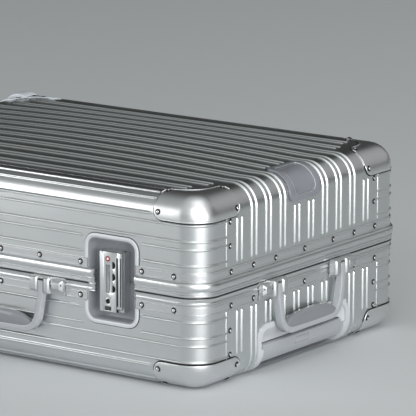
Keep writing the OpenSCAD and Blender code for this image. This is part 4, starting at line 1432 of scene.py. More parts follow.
@dataclass
class Rivets(Assembly):
    """The domed rivet heads of both halves."""

    radius: float = 3.2
    height: float = 2.1
    # Width of the black ring round each head, which paints the head's shadow on the sheet.
    ring: float = 0.55
    row_h: float = 21.2
    end_ys: tuple[float, ...] = (0.0, 64.6, -64.6, 113.2, -113.2, 161.6, -161.6)
    arm_ys: tuple[float, float] = (50.5, 106.5)
    lock_xs: tuple[float, ...] = (0.0, 126.25, -126.25, 221.0, -221.0, 270.0, -270.0)
    lid_xs: tuple[float, ...] = (62.0, -62.0)
    hinge_xs: tuple[float, ...] = (62.0, 120.0, 240.0, 270.0)
    seam_in: float = 7.5
    lid_turns: tuple[float, float] = (12.0, 76.0)
    base_turns: tuple[float, float] = (12.0, 62.0)
    seam_hs: tuple[float, float] = (53.6, 84.2)
    cap_x: float = 245.0
    cap_y: float = 148.0

    def head(self) -> bpy.types.Object:
        """One head standing on the plane z = 0: its lower faces near-black and its upper faces bright, painting shade
        and highlight on the dome, on a black disc that paints its shadow ring.
        """
        ball = (self.radius**2 + self.height**2) / (2 * self.height)
        Bench.clear()
        bpy.ops.mesh.primitive_uv_sphere_add(segments=14, ring_count=14, radius=ball)
        piece = bpy.context.object
        bpy.ops.object.mode_set(mode="EDIT")
        bpy.ops.mesh.select_all(action="SELECT")
        bpy.ops.transform.translate(value=(0, 0, self.height - ball))
        bpy.ops.mesh.bisect(plane_co=(0, 0, 0.12), plane_no=(0, 0, 1), clear_inner=True, use_fill=False)
        Bench.pick(lambda co: co.z < 0.14)
        bpy.ops.mesh.extrude_region_move(TRANSFORM_OT_translate={"value": (0, 0, -0.22)})
        bpy.ops.mesh.edge_face_add()
        Bench.clear()
        # A black disc a little wider than the head: the painted shadow ring round the rivet.
        washer = Bench.rod("washer", (0, 0, 0.0), "Z", self.radius + self.ring, 0.36, 20)
        self.finishes.dress(piece, "rivet_steel", "rivet_shade")
        # Faces below two thirds of the dome's height get the near-black steel as painted shade; those above keep the
        # bright steel as painted highlight.
        for face in piece.data.polygons:
            face.material_index = int(face.center.z < 0.66 * self.height)
        self.finishes.dress(washer, "recess_dark")
        return Bench.join("head", [piece, washer])

    def seats(self, half: Half) -> list[Seat]:
        """All the seats of one half."""
        c = CASE
        u = c.flange_u
        seats: list[Seat] = []
        for end in (1, -1):
            for y in self.end_ys:
                if half is Half.BASE and self.arm_ys[0] < abs(y) < self.arm_ys[1]:
                    continue
                seats.append(Seat((end * (c.half_l + u), y, self.row_h), (end, 0, 0)))
        for side in (1, -1):
            for h in self.seam_hs:
                seats.append(Seat((c.half_l, side * (c.seam_y - self.seam_in), h), (1, 0, 0)))
        lock_xs = [*self.lock_xs, *(self.lid_xs if half is Half.LID else ())]
        seats += [Seat((x, -c.half_w - u, self.row_h), (0, -1, 0)) for x in lock_xs]
        seats += [Seat((s * x, c.half_w + u, self.row_h), (0, 1, 0)) for x in self.hinge_xs for s in (1, -1)]
        turns, reach = self.lid_turns if half is Half.LID else self.base_turns, c.cap_bend
        for side in (1, -1):
            for turn in map(math.radians, turns):
                co, si = math.cos(turn), math.sin(turn)
                h = c.bend_h + reach * si
                seats.append(Seat((self.cap_x, side * (c.top_y + reach * co), h), (0, side * co, si)))
                x = c.half_l - c.edge_r + reach * co
                seats.append(Seat((x, side * self.cap_y, h), (co, 0, si)))
        return seats

    def build(self) -> None:
        """Build both halves' rivets."""
        head = self.head()
        for half in Half:
            word = half.word
            heads = []
            for k, seat in enumerate(self.seats(half)):
                out = Vector(seat.out).normalized()
                turn = Vector((0, 0, 1)).rotation_difference(out).to_matrix().to_4x4()
                spin = Matrix.Rotation(0.7 * k, 4, "Z")
                heads.append(Bench.twin(head, Matrix.Translation(seat.spot) @ turn @ spin))
            piece = Bench.in_half(Bench.join(f"{word}_rivet_heads", heads), half)
            self.put(piece, word, f"{word}_rivets", finish=("rivet_steel",), angle=50)
        bpy.data.objects.remove(head)


# ---- corner caps and badge ----


@dataclass
class Caps(Assembly):
    """The pressed caps on the handle end's corners, with rounded lobes."""

    thick: float = 1.2
    lift: float = 0.1
    lobe_r: float = 13.0
    side_end: float = 72.0
    end_end: float = 82.0
    curve: float = 36.0

    def wall(self) -> list[tuple[float, float]]:
        """Section (outwards from the bend's centre, height) from the cap's edge to the face."""
        r = CASE.edge_r + self.lift + self.thick
        return [(r, CASE.cap_h), *arc_points(0.0, CASE.bend_h, r, 0, 90, 14)]

    def span(self) -> tuple[float, float]:
        """Lower and upper edge of the lobes, measured along the cap's outside."""
        return CASE.cap_h, CASE.bend_h + math.pi / 2 * CASE.cap_bend

    def lobe_cut(self, piece: bpy.types.Object, axis: int, far: float) -> None:
        """Round a lobe's two corners by drawing in its last columns.

        Args:
            piece: The cap's surface.
            axis: 0 for the lobe along X, 1 for the lobe along Y.
            far: Coordinate of the lobe's end along that axis.
        """
        c, r = CASE, self.lobe_r
        low, top = self.span()
        centre = c.top_y if axis == 0 else c.half_l - c.edge_r
        for vert in piece.data.vertices:
            along = vert.co[axis]
            if along > far + r + 1e-4 or vert.co[1 - axis] < centre - 0.01:
                continue
            out, h = vert.co[1 - axis] - centre, vert.co.z
            s = h if h <= c.bend_h else c.bend_h + c.cap_bend * math.atan2(h - c.bend_h, out)
            deep = max(0.0, r - (s - low), r - (top - s))
            end = far + r - math.sqrt(max(0.0, r * r - deep * deep))
            share = (far + r - along) / r
            vert.co[axis] = far + r - (far + r - end) * share

    def cap(self) -> bpy.types.Object:
        """One cap on the +Y corner of the handle end."""
        c = CASE
        inner_x, inner_y = c.half_l - c.corner_r, c.half_w - c.corner_r
        section = [(c.half_l - self.side_end, c.top_y + a, h) for a, h in self.wall()]
        r = self.lobe_r
        surface = Sweep("cap", section).follow(
            Line((r, 0, 0), 6),
            Line((inner_x - c.half_l + self.side_end - r, 0, 0), 2),
            Arc((inner_x, inner_y, 0), (0, 0, 1), -90, 14),
            Line((0, c.half_w - self.end_end + r - inner_y, 0), 2),
            Line((0, -r, 0), 6),
        ).done()
        self.lobe_cut(surface, 0, c.half_l - self.side_end)
        self.lobe_cut(surface, 1, c.half_w - self.end_end)
        web = self.web()
        piece = Bench.join("cap", [surface, web])
        Bench.weld(piece, 0.05)
        probe = max(piece.data.polygons, key=lambda f: f.center.x + f.center.y)
        if probe.normal.x < 0:
            piece.data.flip_normals()
        Bench.apply(piece, "SOLIDIFY", thickness=self.thick, offset=-1.0, use_even_offset=True)
        return Bench.round_edges(piece, 0.45, 2, 50)

    def web(self) -> bpy.types.Object:
        """The flat web on the face, with its hollow inner curve."""
        c = CASE
        h = c.depth + self.lift + self.thick
        x1, y1 = c.half_l - c.edge_r, c.half_w - c.edge_r
        x0, y0 = x1 - self.curve, y1 - self.curve
        hollow = arc_points(x0, y0, self.curve, 0, 90, 16)
        turn = arc_points(c.half_l - c.corner_r, c.half_w - c.corner_r, c.corner_r - c.edge_r, 0, 90, 14)
        flat = [*turn, *reversed(hollow)]
        Bench.clear()
        web = Sweep("web", [(x, y, h) for x, y in flat], ring=True)
        bpy.ops.mesh.edge_face_add()
        Bench.clear()
        return web.piece

    def lobe_edge(self, far: float, low: float, top: float, grow: float) -> list[tuple[float, float]]:
        """Edge of one lobe as (along, s), from its lower edge round its end to its upper edge."""
        r = self.lobe_r
        ends = [(far + r, low + r, 270, 180), (far + r, top - r, 180, 90)]
        return [p for cx, cy, a0, a1 in ends for p in arc_points(cx, cy, r + grow, a0, a1, 8)]

    def edge(self, grow: float, lift: float) -> list[Spot]:
        """The cap's whole edge.

        Args:
            grow: Distance of the line outside the cap's edge.
            lift: Distance of the line from the sheet.

        Returns:
            Points in (x, y, h).
        """
        c, radius = CASE, CASE.edge_r + lift
        low, top = self.span()
        inner_x, inner_y = c.half_l - c.corner_r, c.half_w - c.corner_r

        def over(s: float) -> tuple[float, float]:
            """Place (outwards, height) of a point that lies s up the cap's outside."""
            turn = max(0.0, min(math.pi / 2, (s - c.bend_h) / c.cap_bend))
            on_face = max(0.0, s - top)
            return radius * math.cos(turn) - on_face, min(s, c.bend_h) + radius * math.sin(turn)

        sides = self.lobe_edge(c.half_l - self.side_end, low, top, grow)
        side = [(x, c.top_y + over(s)[0], over(s)[1]) for x, s in sides]
        ends = self.lobe_edge(c.half_w - self.end_end, low, top, grow)
        front = [(c.half_l - c.edge_r + over(s)[0], y, over(s)[1]) for y, s in reversed(ends)]
        x0, y0 = c.half_l - c.edge_r - self.curve, c.half_w - c.edge_r - self.curve
        hollow = [(x, y, c.depth + lift) for x, y in arc_points(x0, y0, self.curve - grow, 80, 2, 14)]
        turn = arc_points(inner_x, inner_y, c.corner_r + lift, 0, 90, 14)
        return [*side, *hollow, *front, *[(x, y, low - grow) for x, y in turn]]

    def build(self) -> None:
        """Build the caps of both halves."""
        cap = self.cap()
        self.finishes.dress(cap, "cap_metal")
        # The rim wire is a real raised edge; its lighter metal paints a highlight along it.
        rim = self.finishes.dress(Bench.wire("rim", self.edge(-1.0, 0.85), 1.15), "rim_metal")
        # A black wire just outside the cap paints the shade line along its edge.
        shade = self.finishes.dress(Bench.wire("shade", self.edge(0.7, 0.1), 0.85), "recess_dark")
        cap = Bench.join("cap", [cap, rim, shade])
        for half in Half:
            word = half.word
            pair = [Bench.twin(cap, Matrix()), Bench.mirrored(cap, 1)]
            piece = Bench.in_half(Bench.join(f"{word}_cap_pressings", pair), half)
            self.put(piece, word, f"{word}_corner_caps", finish=("cap_metal",), angle=50)
        bpy.data.objects.remove(cap)


def wrap_end(piece: bpy.types.Object) -> bpy.types.Object:
    """Lay a piece drawn flat in (u, y, s) over the handle end's bend, s counted along the sheet.

    Args:
        piece: The flat piece: x is the distance from the sheet, z the height unrolled.

    Returns:
        The same piece in (x, y, h).
    """
    c = CASE
    for vert in piece.data.vertices:
        u, s = vert.co.x, vert.co.z
        turn = (s - c.bend_h) / c.edge_r
        if turn <= 0:
            vert.co.x, vert.co.z = c.half_l + u, s
        elif turn < math.pi / 2:
            vert.co.x = c.half_l - c.edge_r + (c.edge_r + u) * math.cos(turn)
            vert.co.z = c.bend_h + (c.edge_r + u) * math.sin(turn)
        else:
            vert.co.x = c.half_l - c.edge_r - (s - c.bend_h - c.edge_r * math.pi / 2)
            vert.co.z = c.depth + u
    return piece


@dataclass
class Badge(Assembly):
    """The bare badge plate with its sunk inner panel."""

    half_w: float = 34.0
    low: float = 85.8
    thick: float = 2.6
    corner: float = 9.0
    panel_w: float = 24.0
    panel_in: float = 6.8
    panel_deep: float = 2.0

    def panel_line(self, high: float, x: float, shrink: float = 0.0) -> list[Spot]:
        """Outline of the sunk panel with its two round lower corners."""
        w, r = self.panel_w - shrink, self.corner - shrink
        low, top = self.low + self.panel_in + shrink, high - self.panel_in - shrink
        flat = [*arc_points(w - r, low + r, r, 360, 270, 8), *arc_points(r - w, low + r, r, 270, 180, 8)]
        side = [(-w, low + r + (top - 2 - low - r) * k / 20) for k in range(1, 20)]
        flat += [*side, *arc_points(2 - w, top - 2, 2, 180, 90, 3), *arc_points(w - 2, top - 2, 2, 90, 0, 3)]
        return [(x, y, z) for y, z in [*flat, *[(-a, b) for a, b in reversed(side)]]]

    def build(self) -> None:
        """Build the plate."""
        c = CASE
        high = c.bend_h + math.pi / 2 * c.edge_r + (38.0 - c.edge_r)
        face = self.thick + 0.1
        plate = Bench.box("badge_face", (0.1, -self.half_w, self.low), (face, self.half_w, high))

        def at_corner(co: Vector) -> bool:
            """Tell whether a point lies at one of the plate's four corners."""
            return abs(abs(co.y) - self.half_w) < 0.01 and (co.z < self.low + 0.1 or co.z > high - 0.1)

        Bench.edit(plate)
        self.edges_along_x(at_corner)
        bpy.ops.mesh.bevel(offset=self.corner, segments=8, affect="EDGES")
        Bench.clear()
        Bench.cut(plate, outline_block("panel", self.panel_line(high, face - self.panel_deep), (5, 0, 0)))
        Bench.round_edges(plate, 0.55, 3, 30)
        Bench.edit(plate)
        steps = int((high - self.low) / 2.2)
        for k in range(1, steps):
            bpy.ops.mesh.select_all(action="SELECT")
            z = self.low + (high - self.low) * k / steps
            bpy.ops.mesh.bisect(plane_co=(0, 0, z), plane_no=(0, 0, 1))
        Bench.clear()
        self.finishes.dress(plate, "badge_metal")
        # The border wire round the sunk panel is real raised geometry; its lighter metal paints a highlight along the
        # panel's edge.
        border = self.finishes.dress(Bench.wire("border", self.panel_line(high, face - 1.0, 0.3), 0.75), "rim_metal")
        plate = wrap_end(Bench.join("badge_face", [plate, border]))
        Bench.in_half(plate, Half.LID)
        self.put(plate, "lid", "badge_plate", finish=("badge_metal",), angle=25)

    def edges_along_x(self, test: Callable[[Vector], bool]) -> None:
        """Select the edges that run outwards between vertices that pass a test."""
        bpy.ops.mesh.select_mode(type="EDGE")
        shape = bmesh.from_edit_mesh(bpy.context.object.data)
        for edge in shape.edges:
            a, b = edge.verts
            edge.select_set(abs(a.co.x - b.co.x) > 0.5 and test(a.co) and test(b.co))
        bmesh.update_edit_mesh(bpy.context.object.data)


# ---- locks ----


@dataclass
class LockPans(Assembly):
    """The four lock pans, each a raised rim round a deep tub."""

    half_w: float = 41.75
    rim: float = 5.5
    corner: float = 17.0
    deep: float = 16.0
    start_h: float = 27.5

    def rim_ring(self, x: float, top: float) -> bpy.types.Object:
        """The rounded rim of one pan.

        Args:
            x: Middle of the pan.
            top: Height of its top.

        Returns:
            The rim.
        """
        profile = [
            (0.0, 0.1), (-0.1, 1.2), (-0.6, 2.0), (-1.7, 2.4), (-3.7, 2.4), (-4.9, 1.9), (-5.4, 1.0), (-5.5, -1.0),
            (-4.6, -1.0), (-4.4, 0.1),
        ]
        ring = [(x - self.half_w - o, -CASE.half_w - u, self.start_h) for o, u in profile]
        reach, bend_h = self.half_w - self.corner, top - self.corner
        return turn_out(Sweep("rim", ring, ring=True).follow(
            Line((0, 0, bend_h - self.start_h)),
            Arc((x - reach, 0, bend_h), (0, 1, 0), 90, 10),
            Line((2 * reach, 0, 0)),
            Arc((x + reach, 0, bend_h), (0, 1, 0), 90, 10),
            Line((0, 0, self.start_h - bend_h)),
        ).done(close=True))

    def tub(self, x: float, top: float) -> bpy.types.Object:
        """The wall and floor of one pan.

        Args:
            x: Middle of the pan.
            top: Height of its top.

        Returns:
            The tub.
        """
        w, r = self.half_w - self.rim - 0.1, self.corner - self.rim - 0.1
        high = top - self.rim - 0.1
        block = turn_out(pan_block(x, w, high, r, 0.2, (-self.deep - 1.2, 1.0), -1.0))
        hollow = turn_out(pan_block(x, w - 1.2, high - 1.2, r - 1.2, -2.0, (-self.deep, 3.0), -1.0))
        return Bench.round_edges(Bench.cut(block, hollow), 0.4, 2, 40)

    def shade_line(self, x: float, top: float) -> bpy.types.Object:
        """A black wire that paints the shade line where the rim meets the sheet."""
        w, y, bend_h = self.half_w + 0.2, -CASE.half_w - 0.2, top - self.corner
        r = self.corner + 0.2
        reach = self.half_w - self.corner
        left = arc_points(x - reach, bend_h, r, 180, 90, 10)
        right = arc_points(x + reach, bend_h, r, 90, 0, 10)
        flat = [(x - w, self.start_h), *left, *right, (x + w, self.start_h)]
        line = Bench.wire("shade", [(a, y, h) for a, h in flat], 0.55, closed=False)
        return self.finishes.dress(line, "recess_dark")

    def build(self) -> None:
        """Build the pans of both halves."""
        for half, top in ((Half.LID, 60.5), (Half.BASE, 54.5)):
            word = half.word
            parts = []
            for x in (-CASE.lock_x, CASE.lock_x):
                # The tub is a darker plastic than the rim, painting the shade inside the deep pan.
                tub = self.finishes.dress(self.tub(x, top), "tub_plastic")
                rim = self.finishes.dress(self.rim_ring(x, top), "pan_plastic")
                parts += [rim, tub, self.shade_line(x, top)]
            piece = Bench.in_half(Bench.join(f"{word}_lock_surrounds", parts), half)
            self.put(piece, word, f"{word}_lock_pans", finish=("pan_plastic",), angle=30)


@dataclass
class Lock(Assembly):
    """One combination lock: body, number drums, key cylinder, button and lever."""

    word: str = "left"
    x: float = -174.0
    front_u: float = 2.0
    slot_x: float = -4.9
    drum_u: float = -6.9
    drum_r: float = 7.6
    drum_hs: tuple[float, float, float] = (-7.55, 7.55, 22.65)

    def here(self, low: Spot, high: Spot, name: str) -> bpy.types.Object:
        """A block given in (x from the lock's middle, u, h).

        Args:
            low: Its lowest corner.
            high: Its highest corner.
            name: Its name.

        Returns:
            The block, in the case's millimetres.
        """
        y, h = -CASE.half_w, CASE.parting
        return Bench.box(
            name, (self.x + low[0], y - high[1], h + low[2]), (self.x + high[0], y - low[1], h + high[2])
        )

    def ring(
        self, low: tuple[float, float], high: tuple[float, float], wide: float, u0: float, u1: float
    ) -> bpy.types.Object:
        """A thin frame round a window in the lock's front.

        Args:
            low: Lower left corner (x, h) of the window.
            high: Upper right corner of the window.
            wide: Width of the frame.
            u0: Where it begins.
            u1: Where it ends.

        Returns:
            The frame.
        """
        outer = self.here((low[0] - wide, u0, low[1] - wide), (high[0] + wide, u1, high[1] + wide), "trim")
        inner = self.here((low[0], u0 - 1, low[1]), (high[0], u1 + 1, high[1]), "window")
        return Bench.cut(outer, inner)

    def body(self) -> None:
        """The lock's body with its window frame, indicator and raised rim."""
        shell = self.soften(f"lock_body_{self.word}", f"lock_block_{self.word}", 0.45, 2)
        self.put(shell, "base", f"lock_body_{self.word}", finish=("lock_metal",), angle=30)
        x, u = self.slot_x, self.front_u
        trim = self.ring((x - 2.2, -12.5), (x + 2.2, 22.0), 0.55, u - 0.5, u + 0.12)
        frame_piece = Bench.round_edges(Bench.join(f"lock_window_{self.word}", [trim]), 0.1, 1)
        self.put(frame_piece, "base", finish=("button_plastic",), angle=30)
        rail = self.here((-16.4, u - 1.0, -36.5), (-13.9, u + 1.3, 38.6), f"lock_rail_{self.word}")
        self.put(Bench.round_edges(rail, 0.9, 3), "base", finish=("lock_metal",), angle=30)
        # Black pieces that paint shade: half-moons in the thumb notches, a flat disc for the keyhole and a strip in
        # the gap beside the lever.
        painted_shades = [self.thumb(h) for h in self.drum_hs]
        painted_shades.append(Bench.rod("keyhole", (self.x + x, -CASE.half_w - u, CASE.parting - 23.7), "Y", 3.1, 0.5, 28))
        painted_shades.append(self.here((8.15, -2.0, -37.0), (8.7, u - 0.3, 39.0), "gap"))
        self.put(Bench.join(f"lock_shades_{self.word}", painted_shades), "base", finish=("recess_dark",), angle=30)
        y = -CASE.half_w - u
        dot = Bench.rod(f"lock_indicator_{self.word}", (self.x + x, y + 0.1, CASE.parting + 30.2), "Y", 3.5, 0.7, 28)
        core = Bench.rod("core", (self.x + x, y + 0.02, CASE.parting + 30.2), "Y", 1.7, 0.8, 20)
        self.finishes.dress(dot, "mark_red")
        self.finishes.dress(core, "dial_plastic")
        mark = Bench.join(f"lock_indicator_{self.word}", [Bench.round_edges(dot, 0.2), Bench.round_edges(core, 0.15)])
        self.put(mark, "base", finish=("mark_red",), angle=30)

    def thumb(self, h: float) -> bpy.types.Object:
        """A black half-moon that paints the shade of the notch where a thumb reaches a drum, at a height over the
        parting line.
        """
        y = -CASE.half_w - self.front_u
        flat = [(self.x + 2.1 + a, y + 0.3, CASE.parting + h + b) for a, b in arc_points(0, 0, 4.7, -90, 90, 12)]
        return turn_out(outline_block("thumb", flat, (0, -0.45, 0)))

    def drum(self, k: int) -> None:
        """One number drum with its flutes and digits.

        Args:
            k: Number of the drum, from 0.
        """
        spot = (self.x, -CASE.half_w - self.drum_u, CASE.parting + self.drum_hs[k])
        name = f"number_drum_{self.word}_{k + 1}"
        r = self.drum_r - 0.25
        drum = Bench.rod(name, (0, 0, 0), "Z", r, 9.4, 40)
        Bench.edit(drum)
        Bench.pick_faces(lambda mid, normal: abs(normal.z) < 0.5)
        bpy.ops.mesh.inset(thickness=1.9, depth=0, use_individual=False)
        bpy.ops.mesh.inset(thickness=0.25, depth=-0.35, use_individual=False)
        Bench.clear()
        Bench.round_edges(drum, 0.2, 1, 50)
        self.finishes.dress(drum, "dial_plastic")
        digits = []
        for n in range(10):
            Bench.clear()
            bpy.ops.object.text_add(location=(0, 0, 0))
            text = bpy.context.object
            text.data.body, text.data.size, text.data.extrude = str((n + 3 * k) % 10), 3.2, 0.16
            text.data.align_x, text.data.align_y, text.data.resolution_u = "CENTER", "CENTER", 2
            bpy.ops.object.convert(target="MESH")
            digit = bpy.context.object
            face = Matrix(((0, 1, 0, 0), (0, 0, -1, -(r - 0.2)), (-1, 0, 0, 0), (0, 0, 0, 1)))
            digit.data.transform(Matrix.Rotation(2 * math.pi * n / 10, 4, "Z") @ face)
            self.finishes.dress(digit, "mark_ink")
            digits.append(digit)
        piece = Bench.join(name, [drum, *digits])
        piece.data.transform(Matrix.Translation(spot))
        self.put(piece, f"dial_{self.word}_{k + 1}", f"dial_{self.word}_{k + 1}", finish=("dial_plastic",), angle=40)

    def lever(self) -> None:
        """The lever with its long facets, and two black strips that paint the shade of grooves along its front."""
        piece = self.soften(f"lock_lever_{self.word}", f"latch_lever_{self.word}", 0.0)
        Bench.edit(piece)
        front = -CASE.half_w - 3.0
        Bench.pick_faces(lambda mid, normal: normal.y < -0.98 and abs(mid.y - front) < 0.3)
        bpy.ops.mesh.inset(thickness=1.1, depth=0)
        bpy.ops.mesh.inset(thickness=0.35, depth=-0.7)
        Bench.clear()
        Bench.round_edges(piece, 0.5, 2)
        self.finishes.dress(piece, "lock_metal")
        # Two black strips paint the shade of grooves along the lever's front.
        lines = [self.here((x - 0.22, 2.0, -29.0), (x + 0.22, 3.12, 33.0), "line") for x in (9.9, 15.0)]
        for line in lines:
            self.finishes.dress(line, "recess_dark")
        piece = Bench.join(piece.name, [piece, *lines])
        self.put(piece, f"lock_lever_{self.word}", f"lock_lever_{self.word}", finish=("lock_metal",), angle=30)

    def build(self) -> None:
        """Build the lock."""
        self.body()
        for k in range(3):
            self.drum(k)
        self.lever()
        key = self.soften(f"key_cylinder_{self.word}", f"key_barrel_{self.word}", 0.25)
        self.put(key, f"key_cylinder_{self.word}", f"key_cylinder_{self.word}", finish=("pin_steel",))
        button = self.soften(f"lock_button_{self.word}", f"release_button_{self.word}", 0.5)
        self.put(button, f"lock_button_{self.word}", f"lock_button_{self.word}", finish=("button_plastic",))


# ---- carry handles ----


def ring_place(across: Vector, out: Vector, spot: Vector) -> Matrix:
    """What takes a ring of radius one to its place on a loft.

    Args:
        across: Half size of the ring along its first way.
        out: Half size along its second way.
        spot: Middle of the ring.

    Returns:
        The place.
    """
    columns = (across, Vector((0, 0, 0)), out, spot)
    return Matrix([[columns[j][i] for j in range(4)] for i in range(3)] + [[0, 0, 0, 1]])


@dataclass
class CarryHandles(Assembly):
    """Both carry handles: brackets, and bails made of a U-shaped band round a thick, lens-shaped grip."""

    arm_y: float = 71.0
    pin: tuple[float, float] = (9.0, 12.0)
    mid_u: float = 9.6
    corner: tuple[float, float, float] = (43.5, 51.0, 22.8)
    band: tuple[float, float] = (4.4, 5.6)
    grip_low: float = 74.5
    grip_end: float = 60.0
    cheeks: tuple[float, float] = (27.0, 12.0)

    def band_line(self) -> list[tuple[float, float, float, float]]:
        """Middle line of half the band as (y, h, half width, half thickness), from its eye to the middle."""
        wide, thick = self.band
        cy, ch, r = self.corner
        arm = [(71.0, 9.0, 3.6, 3.0), (71.0, 9.8, 4.3, 4.1), (71.0, 13.0, 4.4, 4.5), (71.0, 22.0, 4.4, 4.5)]
        arm += [(70.6, 29.0, 4.4, 4.9), (69.6, 36.0, wide, thick), (67.9, 44.0, wide, thick)]
        turn = [(y, h, wide, thick) for y, h in arc_points(cy, ch, r, 4, 90, 12)]
        floor = [(cy * (1 - k / 6), 73.8 + 0.2 * k / 6, wide - 0.4 * k / 6, thick) for k in range(1, 7)]
        return [*arm, *turn, *floor]

    def bail(self, name: str) -> bpy.types.Object:
        """One bail, drawn on the handle end in (x, y, h).

        Args:
            name: Name of the piece.

        Returns:
            The bail.
        """
        half = self.band_line()
        line = [*half, *[(-y, h, a, b) for y, h, a, b in reversed(half[:-1])]]
        places = []
        for k, (y, h, a, b) in enumerate(line):
            before, after = line[max(0, k - 1)], line[min(len(line) - 1, k + 1)]
            along = Vector((0.0, after[0] - before[0], after[1] - before[1])).normalized()
            out = Vector((1.0, 0.0, 0.0))
            across = along.cross(out)
            spot = Vector((CASE.half_l + self.mid_u, y, h))
            places.append(ring_place(across * a, out * b, spot))
        band = self.finishes.dress(Bench.loft(name, rounded_ring(5.0), places), "handle_plastic")
        rows = []
        for k in range(41):
            t = 2 * k / 40 - 1
            share = max(0.0, 1 - abs(t) ** 3.2)
            top = self.grip_low - 4.0 - 17.5 * share**0.75
            middle, high = (self.grip_low + top) / 2, (self.grip_low - top) / 2
            spot = Vector((CASE.half_l + self.mid_u, self.grip_end * t, middle))
            rows.append(ring_place(Vector((0, 0, high)), Vector((2.5 + 3.7 * share**0.5, 0, 0)), spot))
        grip = self.finishes.dress(Bench.loft("grip", rounded_ring(2.9), rows), "grip_plastic")
        return Bench.join(name, [band, grip])

    def side_block(self, y: tuple[float, float], h: tuple[float, float], u: float, slope: float) -> bpy.types.Object:
        """A block of a bracket with bevelled front edges.

        Args:
            y: Its extent along the end.
            h: Its extent in height.
            u: Its front.
            slope: Size of the bevels.

        Returns:
            The block.
        """
        x0 = CASE.half_l
        piece = Bench.box("block", (x0 + 2.0, y[0], h[0]), (x0 + u, y[1], h[1]))
        Bench.edit(piece)
        Bench.pick_faces(lambda mid, normal: normal.x > 0.9)
        bpy.ops.mesh.bevel(offset=slope, segments=1, affect="EDGES")
        Bench.clear()
        return Bench.round_edges(piece, 0.35, 2, 20)

    def brackets(self, name: str) -> bpy.types.Object:
        """Both brackets of one handle: plates, a yoke round each arm, a bevelled boss outside it, and black slot and
        eye pieces that paint the shade of the slot and the pin's hole.

        Args:
            name: Name of the piece.

        Returns:
            The brackets, drawn on the handle end in (x, y, h).
        """
        arm, (outer, inner) = self.arm_y, self.cheeks
        y0, y1, x0 = arm - 4.9 - inner, arm + 4.9, CASE.half_l
        metal = [
            Bench.round_edges(Bench.box("plate", (x0 + 1.8, y0, 3.9), (x0 + 3.7, y1 + outer, 26.8)), 0.5, 2),
            self.side_block((y0, arm - 4.9), (4.0, 23.0), 14.6, 2.2),
            self.side_block((y1, y1 + 9.0), (4.0, 24.5), 14.9, 2.2),
            self.side_block((y1 + 8.6, y1 + outer), (6.0, 20.5), 12.2, 3.6),
            self.side_block((arm - 6.0, arm + 6.0), (3.9, 7.0), 12.4, 0.9),
        ]
        # Black boxes and a disc paint the shade in the slot over the arm and in the pin's hole.
        slot = Bench.box("slot", (x0 + 3.6, arm - 4.8, 6.9), (x0 + 3.95, arm + 4.8, 26.4))
        deep = Bench.box("slot", (x0 + 3.6, arm - 4.8, 6.9), (x0 + 8.6, arm + 4.8, 8.2))
        eye = Bench.rod("eye", (x0 + self.pin[0], y1 + 9.0 + 0.1, self.pin[1]), "Y", 2.6, 0.5, 24)
        for part in metal:
            self.finishes.dress(part, "bracket_metal")
        for part in (slot, deep, eye):
            self.finishes.dress(part, "recess_dark")
        one = Bench.join(name, [*metal, slot, deep, eye])
        return Bench.join(name, [one, Bench.mirrored(one, 1)])

    def to_side(self, piece: bpy.types.Object) -> bpy.types.Object:
        """Take a piece drawn on the handle end to the lock side."""
        c = CASE
        turn = Matrix(((0, 1, 0, 0), (-1, 0, 0, c.half_l - c.half_w), (0, 0, 1, 0), (0, 0, 0, 1)))
        piece.data.transform(turn)
        return piece

    def build(self) -> None:
        """Build both handles."""
        for word in ("end", "side"):
            bail = self.bail(f"{word}_carry_bail")
            mounts = self.brackets(f"{word}_handle_cheeks")
            if word == "side":
                self.to_side(bail)
                self.to_side(mounts)
            Bench.in_half(bail, Half.BASE)
            Bench.in_half(mounts, Half.BASE)
            self.put(bail, f"{word}_handle", f"{word}_handle", finish=("handle_plastic",), angle=40)
            self.put(mounts, "base", f"{word}_handle_brackets", finish=("bracket_metal",), angle=25)


# ---- pull handle's recess and the caster housings ----


@dataclass
class Recess(Assembly):
    """The pull handle's recess pan with its shallow scoop, and the grip with its button."""

    half_w: float = 97.4
    low: float = 63.6
    high: float = 113.0
    deep: float = 8.5

    def scoop(self) -> bpy.types.Object:
        """The scoop that slopes from the pan's rim to the grip, with the opening the grip sits in."""
        c = CASE
        line = [(0.0, self.half_w * (2 * k / 60 - 1), self.low) for k in range(61)]
        piece = Sweep("scoop", line).follow(Line((0, 0, self.high - self.low), 34)).done()
        for vert in piece.data.vertices:
            h = vert.co.z
            rise = min(1.0, max(0.0, (h - c.bend_h) / c.edge_r))
            wall = c.half_l - c.edge_r * (1 - math.sqrt(1 - rise * rise))
            sides = min(1.0, max(0.0, (self.half_w - abs(vert.co.y)) / 15))
            top = min(1.0, max(0.0, (h - self.low) / 21))
            share = sides * sides * (3 - 2 * sides) * top * top * (3 - 2 * top)
            vert.co.x = wall + 0.4 - self.deep * share
        if piece.data.polygons[0].normal.x < 0:
            piece.data.flip_normals()
        Bench.apply(piece, "SOLIDIFY", thickness=1.3, offset=-1.0)
        slot = Bench.box("slot", (270.0, -89.2, 86.6), (330.0, 89.2, 140.0))
        return Bench.cut(piece, slot)

    def build(self) -> None:
        """Build the pan, the grip and its button."""
        pan = self.soften("pull_recess_pan", "pull_recess_tray", 0.9, 3)
        scoop = self.scoop()
        Bench.in_half(scoop, Half.BASE)
        pan = self.finishes.dress(Bench.join("pull_recess_tray", [pan, scoop]), "pan_plastic")
        self.put(pan, "base", "pull_recess_pan", finish=("pan_plastic",), angle=32)
        grip = self.finishes.dress(self.soften("pull_grip", "pull_grip_bar", 2.6, 5), "handle_plastic")
        self.put(grip, "pull_stage_two", "pull_grip", finish=("handle_plastic",), angle=32)
        button = self.finishes.dress(self.soften("pull_button", "pull_grip_button", 0.9, 3), "handle_plastic")
        self.put(button, "pull_button", "pull_button", finish=("button_plastic",), angle=32)


